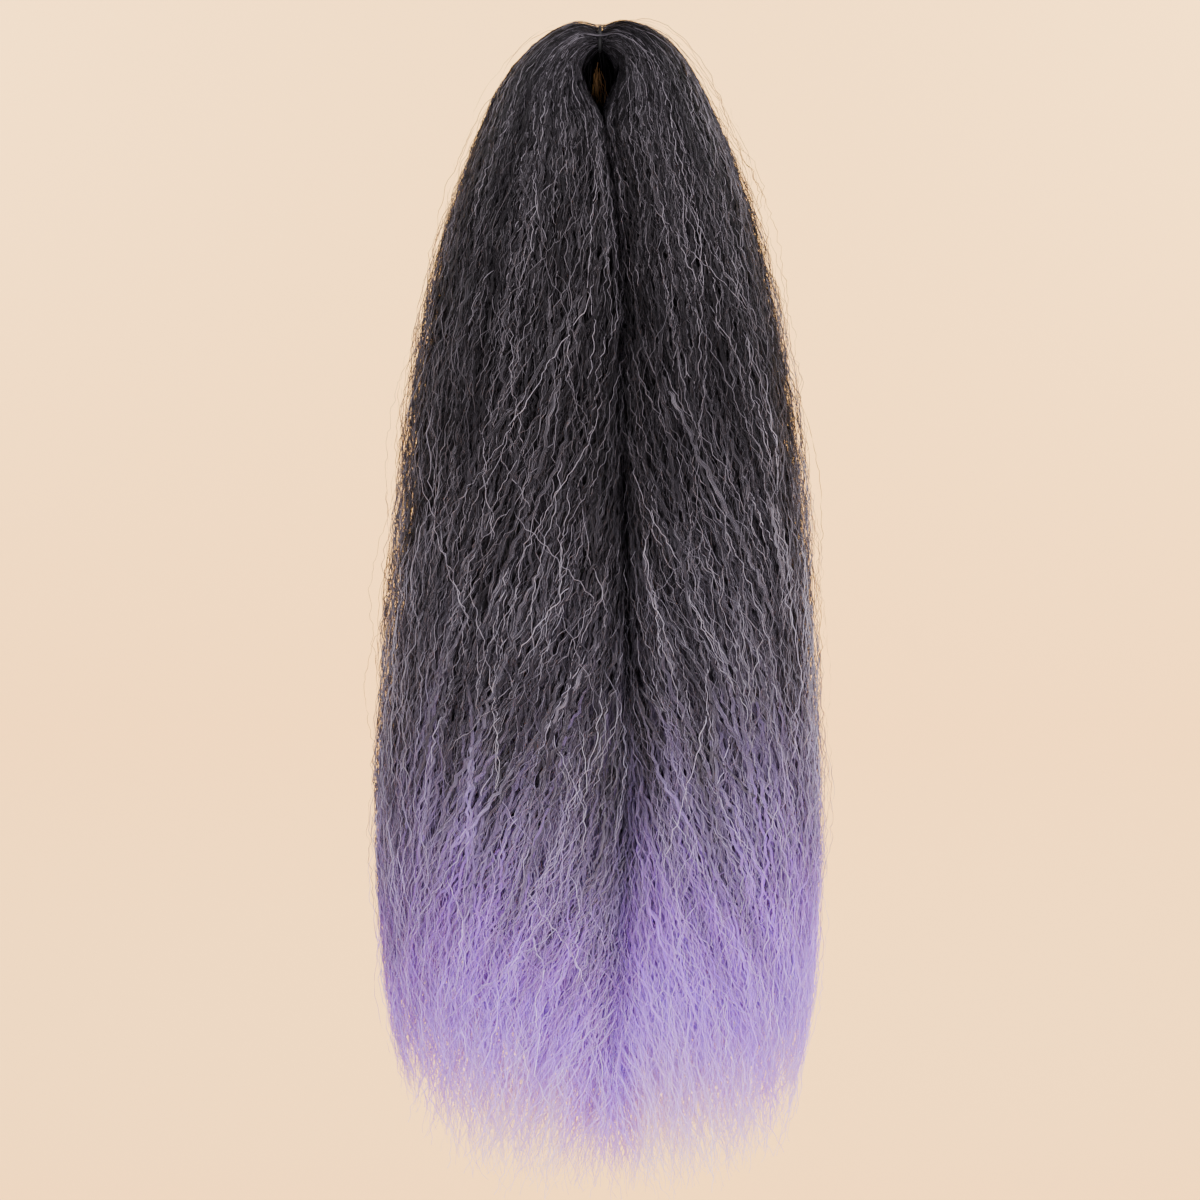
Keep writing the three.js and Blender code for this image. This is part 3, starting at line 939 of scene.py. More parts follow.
STRANDS = Layer(top=-1.8 * MM, depth=5.0 * MM, dim=0.13, bright=0.2, slant=13.0)
BUNDLES = Layer(
    top=-0.4 * MM, depth=7.0 * MM, dim=0.095, bright=0.0, slant=9.0, low_width=0.5, crossing=0.0
)
CROWN_STRANDS = Layer(top=-1.0 * MM, depth=4.0 * MM, dim=0.13, bright=0.24)
CROWN_BUNDLES = Layer(top=-0.3 * MM, depth=5.0 * MM, dim=0.09, bright=0.0)


@dataclass
class Strands:
    """Rules for how fibres run over a fall, take its dye and end."""

    shape: FallShape
    rng: np.random.Generator
    fibre_length: float = 600 * MM
    centre_x: float = 6 * MM
    pitches: tuple[float, float] = (8 * MM, 16 * MM)
    # Free ends: over what height they are spread, how many are long, and how rounded the bottom is.
    tip_spread: float = 100 * MM
    tip_bias: float = 1.25
    tip_round: float = 0.11
    # Shares of the hank by which the dye differs: from fibre to fibre, in patches, in locks, later
    # at the parting, partly as painted shade of the groove, and earlier on the right than on the
    # left, which paints the brighter light on the right fall.
    dye_spread: float = 0.022
    dye_patches: float = 0.016
    dye_locks: float = 0.028
    parting_dye_and_shade: float = 0.06
    right_fall_painted_light: float = 0.012
    patch_spans: tuple[float, float] = (30 * MM, 90 * MM)
    parting: float = 16 * MM
    # Locks: half their width, their lean, their sway and its height, and their step at the parting.
    lock_width: float = 4.1 * MM
    lock_lean: float = 0.3
    lock_sway: float = 8 * MM
    lock_height: float = 38 * MM
    lock_step: float = 5 * MM
    lock_fades: tuple[float, float] = (17 * MM, 55 * MM)
    lock_contrast: float = 0.45
    # The parting's painted shade: what it takes off a tone, and the angles where it starts and is full.
    shade: float = 0.2
    shade_angles: tuple[float, float] = (2.2, 2.9)
    # The share of the crimp that is left at the tie, and where along the fall it is full.
    tie_crimp: float = 0.2
    crimp_from: float = 0.14

    # Place along the fall, and how far fibres on its face lean away from the parting there.
    LEANS = ((0.0, 0.0), (0.12, 2.0), (0.3, 9.0), (0.5, 15.0), (0.7, 19.0), (0.85, 23.0), (1.0, 14.0))
    # The two waves of a wander, each with its share of the size and of the span.
    WAVES = ((0.65, 1.0), (0.35, 0.43))
    # The part of the run down the fall, in steps, that free ends can be in.
    LOW_STEPS = slice(60, None)

    def __post_init__(self) -> None:
        """Adds up the lean down the fall, as a turn round its section."""
        self.grid = np.linspace(0, 1, 300)
        places, leans = np.array(self.LEANS).T
        slope = np.tan(np.radians(np.interp(self.grid, places, leans)))
        rate = slope * self.shape.length / self.shape.girth(self.grid)
        self.turned = np.concatenate([[0], np.cumsum((rate[1:] + rate[:-1]) / 2 * np.diff(self.grid))])

    def carried(
        self, along: np.ndarray, angle: np.ndarray, known: np.ndarray, part: np.ndarray
    ) -> np.ndarray:
        """Carries an angle that is known at one place to others, with the lean.

        Args:
            along: The other places.
            angle: The known angle.
            known: Where it is known.
            part: Share of the common lean that the fibre takes.

        Returns:
            The angles at the other places, which never cross the parting or the outer edge.
        """
        gained = np.interp(along, self.grid, self.turned) - np.interp(known, self.grid, self.turned)
        half = np.tan(np.abs(angle) / 2) * np.exp(-part * gained)
        return np.sign(angle) * 2 * np.arctan(half)

    def tip_drop(self, x: np.ndarray, lag: np.ndarray) -> np.ndarray:
        """How far down a fibre ends.

        Args:
            x: Where it hangs.
            lag: 0 for the longest fibres of a place, 1 for the shortest.

        Returns:
            The drop under the tie.
        """
        out = np.clip(np.abs(x - self.centre_x) / self.shape.reach, 0, 1.1)
        longest = self.shape.drop * (1 - self.tip_round * out**4)
        return longest - self.tip_spread * lag

    def ends(self, x: np.ndarray) -> np.ndarray:
        """Where fibres end along the fall, from where they hang low down.

        Args:
            x: Where each hangs.

        Returns:
            Where along the fall each ends.
        """
        lag = self.rng.random(x.shape) ** self.tip_bias
        drops = -self.shape.section(self.grid)[:, 1:4:2].mean(axis=1)
        return np.interp(self.tip_drop(x, lag), drops[self.LOW_STEPS], self.grid[self.LOW_STEPS])

    def lines(
        self,
        along: np.ndarray,
        angle: np.ndarray,
        inset: np.ndarray,
        tone: np.ndarray,
        width: np.ndarray,
    ) -> GuideLines:
        """Puts lines on the fall.

        Args:
            along: Place along the fall of each point, (fibres, points).
            angle: Angle of each point.
            inset: Depth under the skin of each point.
            tone: 0 for a deep fibre, dark with painted shade, to 1 for a bright one on top, with a painted
                highlight.
            width: Width of each point, as a share of the layer's width.

        Returns:
            The guide lines.
        """
        points, outwards = self.shape.place(along, angle, inset)
        # Fibres that face the parting get its shade painted into their tone.
        shaded = smoothstep(*self.shade_angles, np.abs(angle).mean(axis=1))
        waves = self.tie_crimp + (1 - self.tie_crimp) * smoothstep(0.0, self.crimp_from, along)
        return self.dressed(points, outwards, tone * (1 - self.shade * shaded), width, waves)

    def dressed(
        self, points: np.ndarray, outwards: np.ndarray, tone: np.ndarray, width: np.ndarray, waves: np.ndarray
    ) -> GuideLines:
        """Gives lines their dye, pitch and phase.

        Args:
            points: The lines' points.
            outwards: The way that each point's crimp heaves.
            tone: 0 for a deep fibre, dark with painted shade, to 1 for a bright one on top, with a painted
                highlight.
            width: Width of each point, as a share of the layer's width.
            waves: Share of the layer's full crimp at each point.

        Returns:
            The guide lines.
        """
        count = len(points)
        share = self._dye_and_painted_light(points) + self.rng.normal(0, self.dye_spread, (count, 1))
        tone = tone * (1 + self.lock_contrast * self._locks(points.mean(axis=1)))
        return GuideLines(
            points=points,
            outwards=outwards,
            share=np.clip(share, 0.004, 0.996),
            girth=width,
            crimp=waves,
            column=np.clip(tone, 0.004, 0.99),
            pitch=self.rng.uniform(*self.pitches, count),
            phase=self.rng.uniform(0, 2 * math.pi, count),
        )

    def stretch(
        self, middle: np.ndarray, length: np.ndarray, low: float, high: np.ndarray | float, t: np.ndarray
    ) -> np.ndarray:
        """Spaces points evenly along stretches of the fall, cut short at its limits.

        Args:
            middle: Where each stretch is centred.
            length: How long it is.
            low: No point is nearer the tie.
            high: No point is further down.
            t: Places on the stretch, -1 to 1.

        Returns:
            Places along the fall, (stretches, points).
        """
        half = length / 2 / self.shape.length
        high = np.broadcast_to(high, middle.shape)
        middle = np.minimum(middle, high - 0.03)
        first, last = np.maximum(middle - half, low), np.minimum(middle + half, high)
        return first[:, None] + (last - first)[:, None] * (t + 1) / 2

    def spread_along(self, low: float, high: float, count: int) -> np.ndarray:
        """Places down the fall, as many to each bit of its skin.

        Args:
            low: The place nearest the tie.
            high: The place furthest down.
            count: How many.

        Returns:
            The places.
        """
        grid = np.linspace(low, high, 200)
        run = np.cumsum(self.shape.girth(grid))
        return np.interp(self.rng.random(count) * run[-1], run, grid)

    def weave(self, along: np.ndarray, size: float, span: float) -> np.ndarray:
        """A slow wander of each line, of two waves with their own lengths and starts.

        Args:
            along: Place along the fall of each point, (fibres, points).
            size: How far it goes to each side.
            span: About how long the longer wave is.

        Returns:
            The way that each point moves.
        """
        total = np.zeros(along.shape)
        for share, shorter in self.WAVES:
            own_span = span * shorter * self.rng.uniform(0.7, 1.5, (len(along), 1))
            start = self.rng.random((len(along), 1))
            total += share * np.sin(2 * math.pi * (along * self.shape.length / own_span + start))
        return size * total

    def turned_at_random(self, made: GuideLines) -> GuideLines:
        """Faces each loose fibre some way of its own, so that some show from every side.

        Args:
            made: The fibres' guide lines.

        Returns:
            The same lines, turned.
        """
        count, steps, _ = made.outwards.shape
        made.outwards = np.repeat(unit(self.rng.normal(0, 1, (count, 1, 3))), steps, 1)
        return made

    def _dye_and_painted_light(self, points: np.ndarray) -> np.ndarray:
        """How far the dye has come: the share down the hank, uneven in patches and late at the parting, with
        painted shade in the late dye there and painted light in an earlier dye on the right fall.

        Args:
            points: Places in the hank, with a last axis of three.

        Returns:
            The dye's share at each place.
        """
        across, down = self.patch_spans
        x, z = points[..., 0] / across, points[..., 2] / down
        patches = self.dye_patches * np.sin(2.1 * x + 1.3 * z + 0.4) + self.dye_locks * self._locks(points)
        # Late dye at the parting, partly painted shade of the groove.
        late = self.parting_dye_and_shade * np.exp(-(((points[..., 0] - self.centre_x) / self.parting) ** 2))
        # Earlier dye on the right fall paints its brighter light.
        earlier = self.right_fall_painted_light * self.shape.side.value
        return -points[..., 2] / self.fibre_length + patches - late + earlier

    def _locks(self, points: np.ndarray) -> np.ndarray:
        """How far places lie in a lighter or a darker lock. Locks lean away from the parting.

        Args:
            points: Places in the hank, with a last axis of three.

        Returns:
            For each place 1 in a lighter lock to -1 in a darker one.
        """
        x, z = points[..., 0] - self.centre_x, points[..., 2]
        sway = self.lock_sway * np.sin(z / self.lock_height)
        across = np.abs(x) + self.lock_lean * z + sway + self.lock_step * np.sign(x)
        fade_x, fade_z = self.lock_fades
        strength = 0.6 + 0.4 * np.sin(z / fade_z + x / fade_x)
        return np.sin(across / self.lock_width) * strength


@dataclass(frozen=True)
class Crown:
    """Smooth fibres that come out of the tie and bend over the shoulder."""

    count: int
    layer: Layer
    # Places along the fall where they start and stop, least and greatest.
    starts: tuple[float, float] = (0.001, 0.006)
    stops: tuple[float, float] = (0.12, 0.42)
    widths: tuple[float, float] = (0.8, 1.2)  # as shares of the tree's width, as on every layer
    wander: tuple[float, float] = (2.2 * MM, 80 * MM)  # sideways, and over what length
    dive: float = 6 * MM  # how deep they end
    tie_relief: float = 2.4 * MM  # how proud they stand beside the tie, and how far along
    tie_share: float = 0.016
    # Angles between which they close in on the skin and by how much; then how far the rim of the
    # eye stands up, and the places along the fall between which it rises and falls.
    closing: tuple[float, float] = (1.8, 2.4)
    closed: float = 0.8
    eye_fill: float = 1.4 * MM
    rim_rises: tuple[float, float] = (0.03, 0.1)
    rim_falls: tuple[float, float] = (0.25, 0.4)
    steps: int = 34

    def lines(self, strands: Strands, face: Face) -> GuideLines:
        """Lays them over one face of a fall.

        Args:
            strands: The fall's rules.
            face: The face.

        Returns:
            The guide lines.
        """
        rng, shape = strands.rng, strands.shape
        shares = (np.arange(self.count) + rng.random(self.count)) / self.count
        angle = face.value * shape.even_angles(shares)
        stop = rng.uniform(*self.stops, self.count)
        start = rng.uniform(*self.starts, self.count)
        # Their points stand closer together near the tie.
        t = np.linspace(0, 1, self.steps)[None, :] ** 1.6
        along = start[:, None] + (stop - start)[:, None] * t
        depth = rng.random(self.count)
        # Round the eye and at the parting they keep to the skin.
        close = 1 - self.closed * smoothstep(*self.closing, angle * face.value)
        inset = self.layer.top + (self.layer.depth * depth * close)[:, None]
        inset = inset + self.dive * smoothstep(0.8, 1.0, t)
        rim = smoothstep(*self.rim_rises, along) * (1 - smoothstep(*self.rim_falls, along))
        inset = inset - self.eye_fill * (1 - close)[:, None] * rim
        run = angle[:, None] + strands.weave(along, *self.wander) / shape.girth(along)
        narrow = 0.55 + 0.45 * smoothstep(0.0, 0.1, along)
        width = rng.uniform(*self.widths, self.count)[:, None] * narrow
        made = strands.lines(along, run, inset, self.layer.tones(rng, depth), width)
        # Beside the tie they stand as proud as its cord.
        beside = self.tie_relief * np.exp(-((along / self.tie_share) ** 2)) * (1 - 0.8 * depth[:, None])
        made.points = made.points + made.outwards * beside[..., None]
        return made


@dataclass(frozen=True)
class Mantle:
    """Stretches of fibre that come up out of the fall, run over its skin and dive again."""

    count: int
    layer: Layer
    longest: float
    shorter: float = 0.0  # how far above the free ends of their place they stop
    middles: tuple[float, float] = (0.05, 0.93)  # places along the fall that they are centred on
    widths: tuple[float, float] = (0.75, 1.15)
    wander: tuple[float, float] = (2.2 * MM, 120 * MM)
    heave: tuple[float, float] = (1.0 * MM, 70 * MM)  # a wander in and out of the skin
    dive: float = 5.5 * MM
    soft_edge: float = 0.8 * MM
    edge_angle: float = 0.5  # half width of the soft edge
    groove_fill: float = 2.0 * MM
    groove_angles: tuple[float, float] = (2.5, 0.3)  # the groove's place and half width
    narrows: tuple[float, float] = (0.6, 0.82)  # places along the fall where fibres thin to low_width
    nearest: float = 0.012
    steps: int = 20

    # Fewer lie on the side that faces the parting, which hardly shows: the share of them up to a
    # share of the way round.
    CROWDING = ((0, 0.84, 0.96, 1), (0, 0.74, 0.88, 1))
    # Spread of the fibres' part in the common lean, and what those that cross it lose.
    LEAN_SPREAD, CROSSED = 0.4, 1.7

    def lines(self, strands: Strands, face: Face) -> GuideLines:
        """Lays them over one face of a fall.

        Args:
            strands: The fall's rules.
            face: The face.

        Returns:
            The guide lines.
        """
        rng, shape, layer, count = strands.rng, strands.shape, self.layer, self.count
        angle = face.value * shape.even_angles(np.interp(rng.random(count), *self.CROWDING))
        middle = strands.spread_along(*self.middles, count)
        length = rng.uniform(0.25, 1.0, count) * self.longest
        depth = rng.beta(1.3, 1.3, count)
        t = np.linspace(-1, 1, self.steps)[None, :]
        low, _ = shape.place(np.full(count, 0.9), angle, np.zeros(count))
        end = strands.ends(low[:, 0]) - self.shorter / shape.length
        along = strands.stretch(middle, length, self.nearest, end, t)
        middle = along.mean(axis=1, keepdims=True)
        part = rng.normal(1.0, self.LEAN_SPREAD, count) - self.CROSSED * (rng.random(count) < layer.crossing)
        run = strands.carried(along, angle[:, None], middle, part[:, None])
        # Each also has a slant of its own, which makes them cross.
        slant = np.tan(np.radians(rng.normal(0, layer.slant, count)))[:, None]
        slant = slant * (along - middle) * shape.length
        run = run + slant * np.abs(np.sin(angle))[:, None] / shape.girth(along)
        run = run + strands.weave(along, *self.wander) / shape.girth(along)
        dive = self.dive * np.abs(t) ** 5
        inset = layer.top + depth[:, None] * layer.depth + dive + strands.weave(along, *self.heave)
        # The outer edge is loose, so that it is soft against what is behind, and the groove is half full.
        edge = np.exp(-((run / self.edge_angle) ** 2)) * smoothstep(0.15, 0.4, along)
        groove, half_width = self.groove_angles
        filled = np.exp(-(((np.abs(run) - groove) / half_width) ** 2))
        inset = inset + self.soft_edge * edge - self.groove_fill * filled
        pointed = 1 - 0.7 * smoothstep(0.75, 1.0, np.abs(t))
        width = rng.uniform(*self.widths, count)[:, None] * pointed
        width = width * (1 - (1 - layer.low_width) * smoothstep(*self.narrows, along))
        return strands.lines(along, run, inset, layer.tones(rng, depth), width)


@dataclass(frozen=True)
class Tips:
    """The free ends, all through the bundle, which thins out towards the bottom."""

    count: int
    layer: Layer
    lengths: tuple[float, float] = (75 * MM, 150 * MM)
    widths: tuple[float, float] = (0.9, 1.4)
    # Mean lean away from the parting and its spread, and how much each leans by itself, in degrees.
    lean: tuple[float, float] = (13.0, 10.0)
    own_lean: float = 12.0
    wander: tuple[float, float] = (5 * MM, 100 * MM)
    heave: tuple[float, float] = (3 * MM, 120 * MM)
    # How far single ones reach past the others, down and out to the side.
    reach: float = 16 * MM
    limits: tuple[float, float] = (-0.07, 0.05)
    steps: int = 20

    # Fewer hang where the falls overlap: the share of them up to a place across the fall.
    CROWDING = ((0, 0.1, 1), (-0.97, -0.6, 0.99))

    def lines(self, strands: Strands) -> GuideLines:
        """Hangs them through a fall.

        Args:
            strands: The fall's rules.

        Returns:
            The guide lines.
        """
        rng, shape, count = strands.rng, strands.shape, self.count
        across = np.interp(rng.random(count), *self.CROWDING)
        front = rng.uniform(-1, 1, count)
        end = strands.ends(shape.inside(np.full(count, 0.92), across, front)[:, 0])
        start = end - rng.uniform(*self.lengths, count) / shape.length
        t = np.linspace(0, 1, self.steps)[None, :]
        along = start[:, None] + (end - start)[:, None] * t
        # They lean away from the parting, least at it and at the outer edge.
        lean = np.tan(np.radians(rng.normal(*self.lean, count))) * (1 - across**2)
        lean = lean + np.tan(np.radians(rng.normal(0, self.own_lean, count)))
        down = (along - end[:, None]) * shape.length
        girth = shape.girth(along)
        across = across[:, None] + lean[:, None] * down / girth + strands.weave(along, *self.wander) / girth
        front = front[:, None] * (0.9 + 0.1 * t) + strands.weave(along, *self.heave) / girth
        # Those at the outer edge stand a little outside it, each its own way.
        limit = 1 + rng.uniform(*self.limits, count)[:, None]
        points = shape.inside(along, np.clip(across, -1.05, limit), np.clip(front, -1.03, 1.03))
        points[..., 2] -= rng.uniform(0, self.reach, count)[:, None] * t**2
        outwards = rng.normal(0, 0.45, (count, 1, 3)) - np.array((0.0, 1.0, 0.0)) * np.sign(front)[..., None]
        # Fibres deep inside the bundle get painted shade through their tones.
        tone = self.layer.tones(rng, 1 - np.abs(front[:, -1]))
        width = rng.uniform(*self.widths, count)[:, None] * (1 - 0.6 * smoothstep(0.7, 1.0, t))
        return strands.dressed(points, unit(outwards), tone, width, np.repeat(1 - 0.1 * t, count, 0))


@dataclass(frozen=True)
class Fringe:
    """Fine fibres that stand a few millimetres off the outer edge and blur the outline."""

    count: int
    middles: tuple[float, float] = (0.03, 0.88)
    lengths: tuple[float, float] = (35 * MM, 110 * MM)
    widths: tuple[float, float] = (0.6, 1.0)
    # Least and greatest height over the skin, and how they are spread between the two.
    least: float = -0.8 * MM
    greatest: float = 6.7 * MM
    spread: tuple[float, float] = (1.0, 1.7)
    slope: float = 3 * MM
    dive: float = 4 * MM
    wander: tuple[float, float] = (3 * MM, 60 * MM)
    tones: tuple[float, float] = (0.4, 0.15)
    round_edge: float = 0.5
    limits: tuple[float, float] = (0.012, 0.93)
    steps: int = 14

    def lines(self, strands: Strands) -> GuideLines:
        """Lays them along a fall's outer edge.

        Args:
            strands: The fall's rules.

        Returns:
            The guide lines.
        """
        rng, count = strands.rng, self.count
        middle = strands.spread_along(*self.middles, count)
        angle = rng.normal(0, self.round_edge, count)
        length = rng.uniform(*self.lengths, count)
        t = np.linspace(-1, 1, self.steps)[None, :]
        along = strands.stretch(middle, length, *self.limits, t)
        proud = (self.least + (self.greatest - self.least) * rng.beta(*self.spread, count))[:, None]
        proud = proud * (0.5 + 0.5 * smoothstep(0.02, 0.2, along)) * (1 - 0.3 * smoothstep(0.7, 0.85, along))
        slope = rng.normal(0, self.slope, count)[:, None] * t
        run = angle[:, None] + strands.weave(along, *self.wander) / strands.shape.girth(along)
        inset = -(proud + slope) * (1 - np.abs(t) ** 3) + self.dive * np.abs(t) ** 3
        tone = np.clip(rng.normal(*self.tones, count), 0, 1)
        width = rng.uniform(*self.widths, count)[:, None] * (1 - 0.5 * smoothstep(0.7, 1.0, np.abs(t)))
        return strands.turned_at_random(strands.lines(along, run, inset, tone, width))


@dataclass(frozen=True)
class Strays:
    """Single fibres that stand off the skin in loose loops, most of them near the outer edge."""

    count: int
    furthest: float = 12 * MM
    middles: tuple[float, float] = (0.02, 0.88)
    lengths: tuple[float, float] = (50 * MM, 170 * MM)
    widths: tuple[float, float] = (0.8, 1.1)
    dive: float = 4 * MM
    wander: tuple[float, float] = (6 * MM, 80 * MM)
    tones: tuple[float, float] = (0.3, 0.15)
    round_edge: float = 0.55
    limits: tuple[float, float] = (0.01, 0.93)
    steps: int = 26

    def lines(self, strands: Strands) -> GuideLines:
        """Loops them round a fall.

        Args:
            strands: The fall's rules.

        Returns:
            The guide lines.
        """
        rng, shape, count = strands.rng, strands.shape, self.count
        middle = rng.uniform(*self.middles, count)
        angle = rng.normal(0, self.round_edge, count)
        length = rng.uniform(*self.lengths, count)
        t = np.linspace(-1, 1, self.steps)[None, :]
        along = strands.stretch(middle, length, *self.limits, t)
        reach = self.furthest * rng.random(count) ** 1.6
        bow = reach[:, None] * (1 - np.abs(t) ** 1.8) - self.dive * np.abs(t) ** 6
        run = angle[:, None] + strands.weave(along, *self.wander) / shape.girth(along)
        tone = np.clip(rng.normal(*self.tones, count), 0, 1)
        width = rng.uniform(*self.widths, count)[:, None] * (1 - 0.6 * smoothstep(0.8, 1.0, np.abs(t)))
        return strands.turned_at_random(strands.lines(along, run, -bow / shape.relief(along), tone, width))


# Pieces


@dataclass
class Core:
    """The dense inside of a fall, which shows between the fibres and ends in a ragged blade."""

    shape: FallShape
    seed: int
    inset: float = 6.5 * MM
    sides: int = 72
    rings: int = 70
    thin_from: float = 0.62
    end: float = 0.80
    ragged: float = 0.03
    blade: float = 0.03  # thickness left at its end, as a share of the full one
    narrowing: float = 0.12  # share of its width that it loses by its end

    # The waves of its ragged end: what each is divided by, and its beat across the fall. The last
    # number is about the most that they come to.
    END_WAVES = ((1.0, 5.0), (1.4, 11.0), (1.8, 19.0))
    END_WAVES_MOST = 2.3

    def build(self, material: bpy.types.Material) -> bpy.types.Object:
        """Lofts the closed core and maps it.

        Args:
            material: Its finish.

        Returns:
            The piece, riding and standing for the fall's solid.
        """
        side = self.shape.side.name.lower()
        angle = np.linspace(-math.pi, math.pi, self.sides, endpoint=False)[None, :]
        shares = np.linspace(0, 1, self.rings)[:, None] ** 1.15
        along = shares * self._ends(angle)
        # It comes nearly to the skin where the falls face each other, and is deeper elsewhere.
        inset = self.inset * (1 - 0.75 * smoothstep(2.1, 2.7, np.abs(angle)))
        points, _ = self.shape.place(along, np.repeat(angle, self.rings, 0), inset)
        # Towards the end it thins from front to back, and hardly from side to side.
        thin = np.clip((along - self.thin_from) / (self.end - self.thin_from), 0, 1)
        points[..., 1] *= np.sqrt(np.clip(1 - thin**2, self.blade**2, 1))
        middle = points[..., 0].mean(axis=1, keepdims=True)
        points[..., 0] = middle + (points[..., 0] - middle) * (1 - self.narrowing * thin)
        mesh = bpy.data.meshes.new(f"{side}_core")
        mesh.from_pydata(points.reshape(-1, 3).tolist(), [], self._faces())
        if self.shape.side is Side.RIGHT:
            mesh.flip_normals()
        self._map(mesh, along)
        mesh.shade_smooth()
        mesh.materials.append(material)
        return finish_piece(placed(f"{side}_core", mesh), f"{side}_fall")

    def _ends(self, angle: np.ndarray) -> np.ndarray:
        """Where the core ends at each angle, the same in front as behind.

        Args:
            angle: Angles round the section.

        Returns:
            The end at each angle, as a place along the fall.
        """
        rng = np.random.default_rng(self.seed)
        across = np.cos(angle)
        waves = sum(
            np.sin(across * beat + rng.uniform(0, 2 * math.pi)) / part for part, beat in self.END_WAVES
        )
        return self.end + self.ragged * waves / self.END_WAVES_MOST

    def _faces(self) -> list[tuple[int, ...]]:
        """Quads between the rings, and a cap on each end.

        Returns:
            The corners of each face.
        """
        faces = []
        for first in range(0, (self.rings - 1) * self.sides, self.sides):
            for i in range(self.sides):
                a, b = first + i, first + (i + 1) % self.sides
                faces.append((a, b, b + self.sides, a + self.sides))
        last = (self.rings - 1) * self.sides
        return faces + [tuple(range(self.sides))[::-1], tuple(range(last, last + self.sides))]

    def _map(self, mesh: bpy.types.Mesh, along: np.ndarray) -> None:
        """Maps the core: u once round it from the parting, v down it.

        Args:
            mesh: The core's mesh.
            along: The place along the fall of each of its points.
        """
        uv = mesh.uv_layers.new(name=FIBRE_MAP)
        flat = along.ravel()
        for face in mesh.polygons:
            places = [mesh.loops[k].vertex_index % self.sides for k in face.loop_indices]
            wraps = len(places) == 4 and max(places) - min(places) > 1
            for k, place in zip(face.loop_indices, places):
                u = 1.0 if wraps and place == 0 else place / self.sides
                uv.data[k].uv = (u, flat[mesh.loops[k].vertex_index])


@dataclass(frozen=True)
class PackedFibre:
    """The same fibre packed tight.

    To the eye it is fibre behind fibre: fine crossing lines, grey on near black, and lilac on
    violet lower down. The lines carry painted highlights, and the near black and violet between
    them painted shade.
    """

    name: str = "packed_modacrylic_fibre"
    line: float = 1.1 * MM
    run: float = 26 * MM
    half_rim: float = 165 * MM
    fall_length: float = 620 * MM
    kink: float = 6 * MM
    kink_span: float = 14 * MM
    line_noise: tuple[float, float] = (0.52, 0.72)  # noise where a line starts, and where it is full
    relief: float = 0.8 * MM
    roughness: float = 0.5
    specular: float = 0.2
    # Slants of the layers of fibre, in degrees away from the parting, and each layer's start.
    slants: tuple[tuple[float, float], ...] = ((-10.0, 0.0), (8.0, 3.1), (24.0, 7.7))
    # Each row's deep colour paints the shade between the lines and its bright colour their highlights; the
    # change down the rows is the dye.
    dye: DyeWithPaintedLight = (
        (0.00, "070608", "2e2b31"),
        (0.48, "09080b", "38343c"),
        (0.58, "1c1721", "544b5e"),
        (0.68, "4a3d5e", "86759c"),
        (0.80, "7a60ae", "b098d8"),
    )

    def build(self) -> bpy.types.Material:
        """Builds the material from layers of crossing lines on the core's own map.

        Returns:
            The material.
        """
        material = empty_material(self.name)
        tree = material.node_tree
        uv = node(tree, "ShaderNodeUVMap", uv_map=FIBRE_MAP)
        split = node(tree, "ShaderNodeSeparateXYZ", {0: uv.outputs[0]})
        # The map folds at the outer edge, so that front and back slant the same way.
        middle = node(tree, "ShaderNodeMath", {0: split.outputs[0], 1: 0.5}, operation="SUBTRACT")
        fold = node(tree, "ShaderNodeMath", {0: middle.outputs[0]}, operation="ABSOLUTE")
        across, down = (
            node(tree, "ShaderNodeMath", {0: share.outputs[part], 1: size}, operation="MULTIPLY")
            for share, part, size in ((fold, 0, 2 * self.half_rim), (split, 1, self.fall_length))
        )
        flat = node(tree, "ShaderNodeCombineXYZ", {0: across.outputs[0], 1: down.outputs[0]})
        kinks = node(
            tree,
            "ShaderNodeTexNoise",
            {"Vector": flat.outputs[0], "Scale": 1 / self.kink_span, "Detail": 2.0},
        )
        bent = node(
            tree,
            "ShaderNodeVectorMath",
            {0: kinks.outputs["Color"], 1: (self.kink, 0.0, 0.0), 2: flat.outputs[0]},
            operation="MULTIPLY_ADD",
        )
        faint, full = self.line_noise
        lit = None
        for slant, start in self.slants:
            away = (0.0, 0.0, -math.radians(slant))
            turned = node(
                tree,
                "ShaderNodeMapping",
                {"Vector": bent.outputs[0], "Rotation": away, "Location": (0.0, 0.0, start)},
            )
            thin = (1 / self.line, 1 / self.run, 1.0)
            drawn = node(tree, "ShaderNodeMapping", {"Vector": turned.outputs[0], "Scale": thin})
            noise = node(
                tree, "ShaderNodeTexNoise", {"Vector": drawn.outputs[0], "Scale": 1.0, "Detail": 1.0}
            )
            strand = node(
                tree,
                "ShaderNodeMapRange",
                {"Value": noise.outputs["Fac"], "From Min": faint, "From Max": full},
                interpolation_type="SMOOTHSTEP",
            )
            if lit is None:
                lit = strand.outputs[0]
            else:
                most = node(tree, "ShaderNodeMath", {0: lit, 1: strand.outputs[0]}, operation="MAXIMUM")
                lit = most.outputs[0]
        deep, bright = dye_and_painted_light_colours(tree, split.outputs[1], self.dye)
        tone = node(tree, "ShaderNodeMix", {0: lit, 6: deep, 7: bright}, data_type="RGBA")
        bump = node(tree, "ShaderNodeBump", {"Height": lit, "Distance": self.relief})
        shader = node(
            tree,
            "ShaderNodeBsdfPrincipled",
            {
                "Base Color": tone.outputs[2],
                "Roughness": self.roughness,
                "Specular IOR Level": self.specular,
                "Normal": bump.outputs[0],
            },
        )
        node(tree, "ShaderNodeOutputMaterial", {"Surface": shader.outputs[0]})
        return material


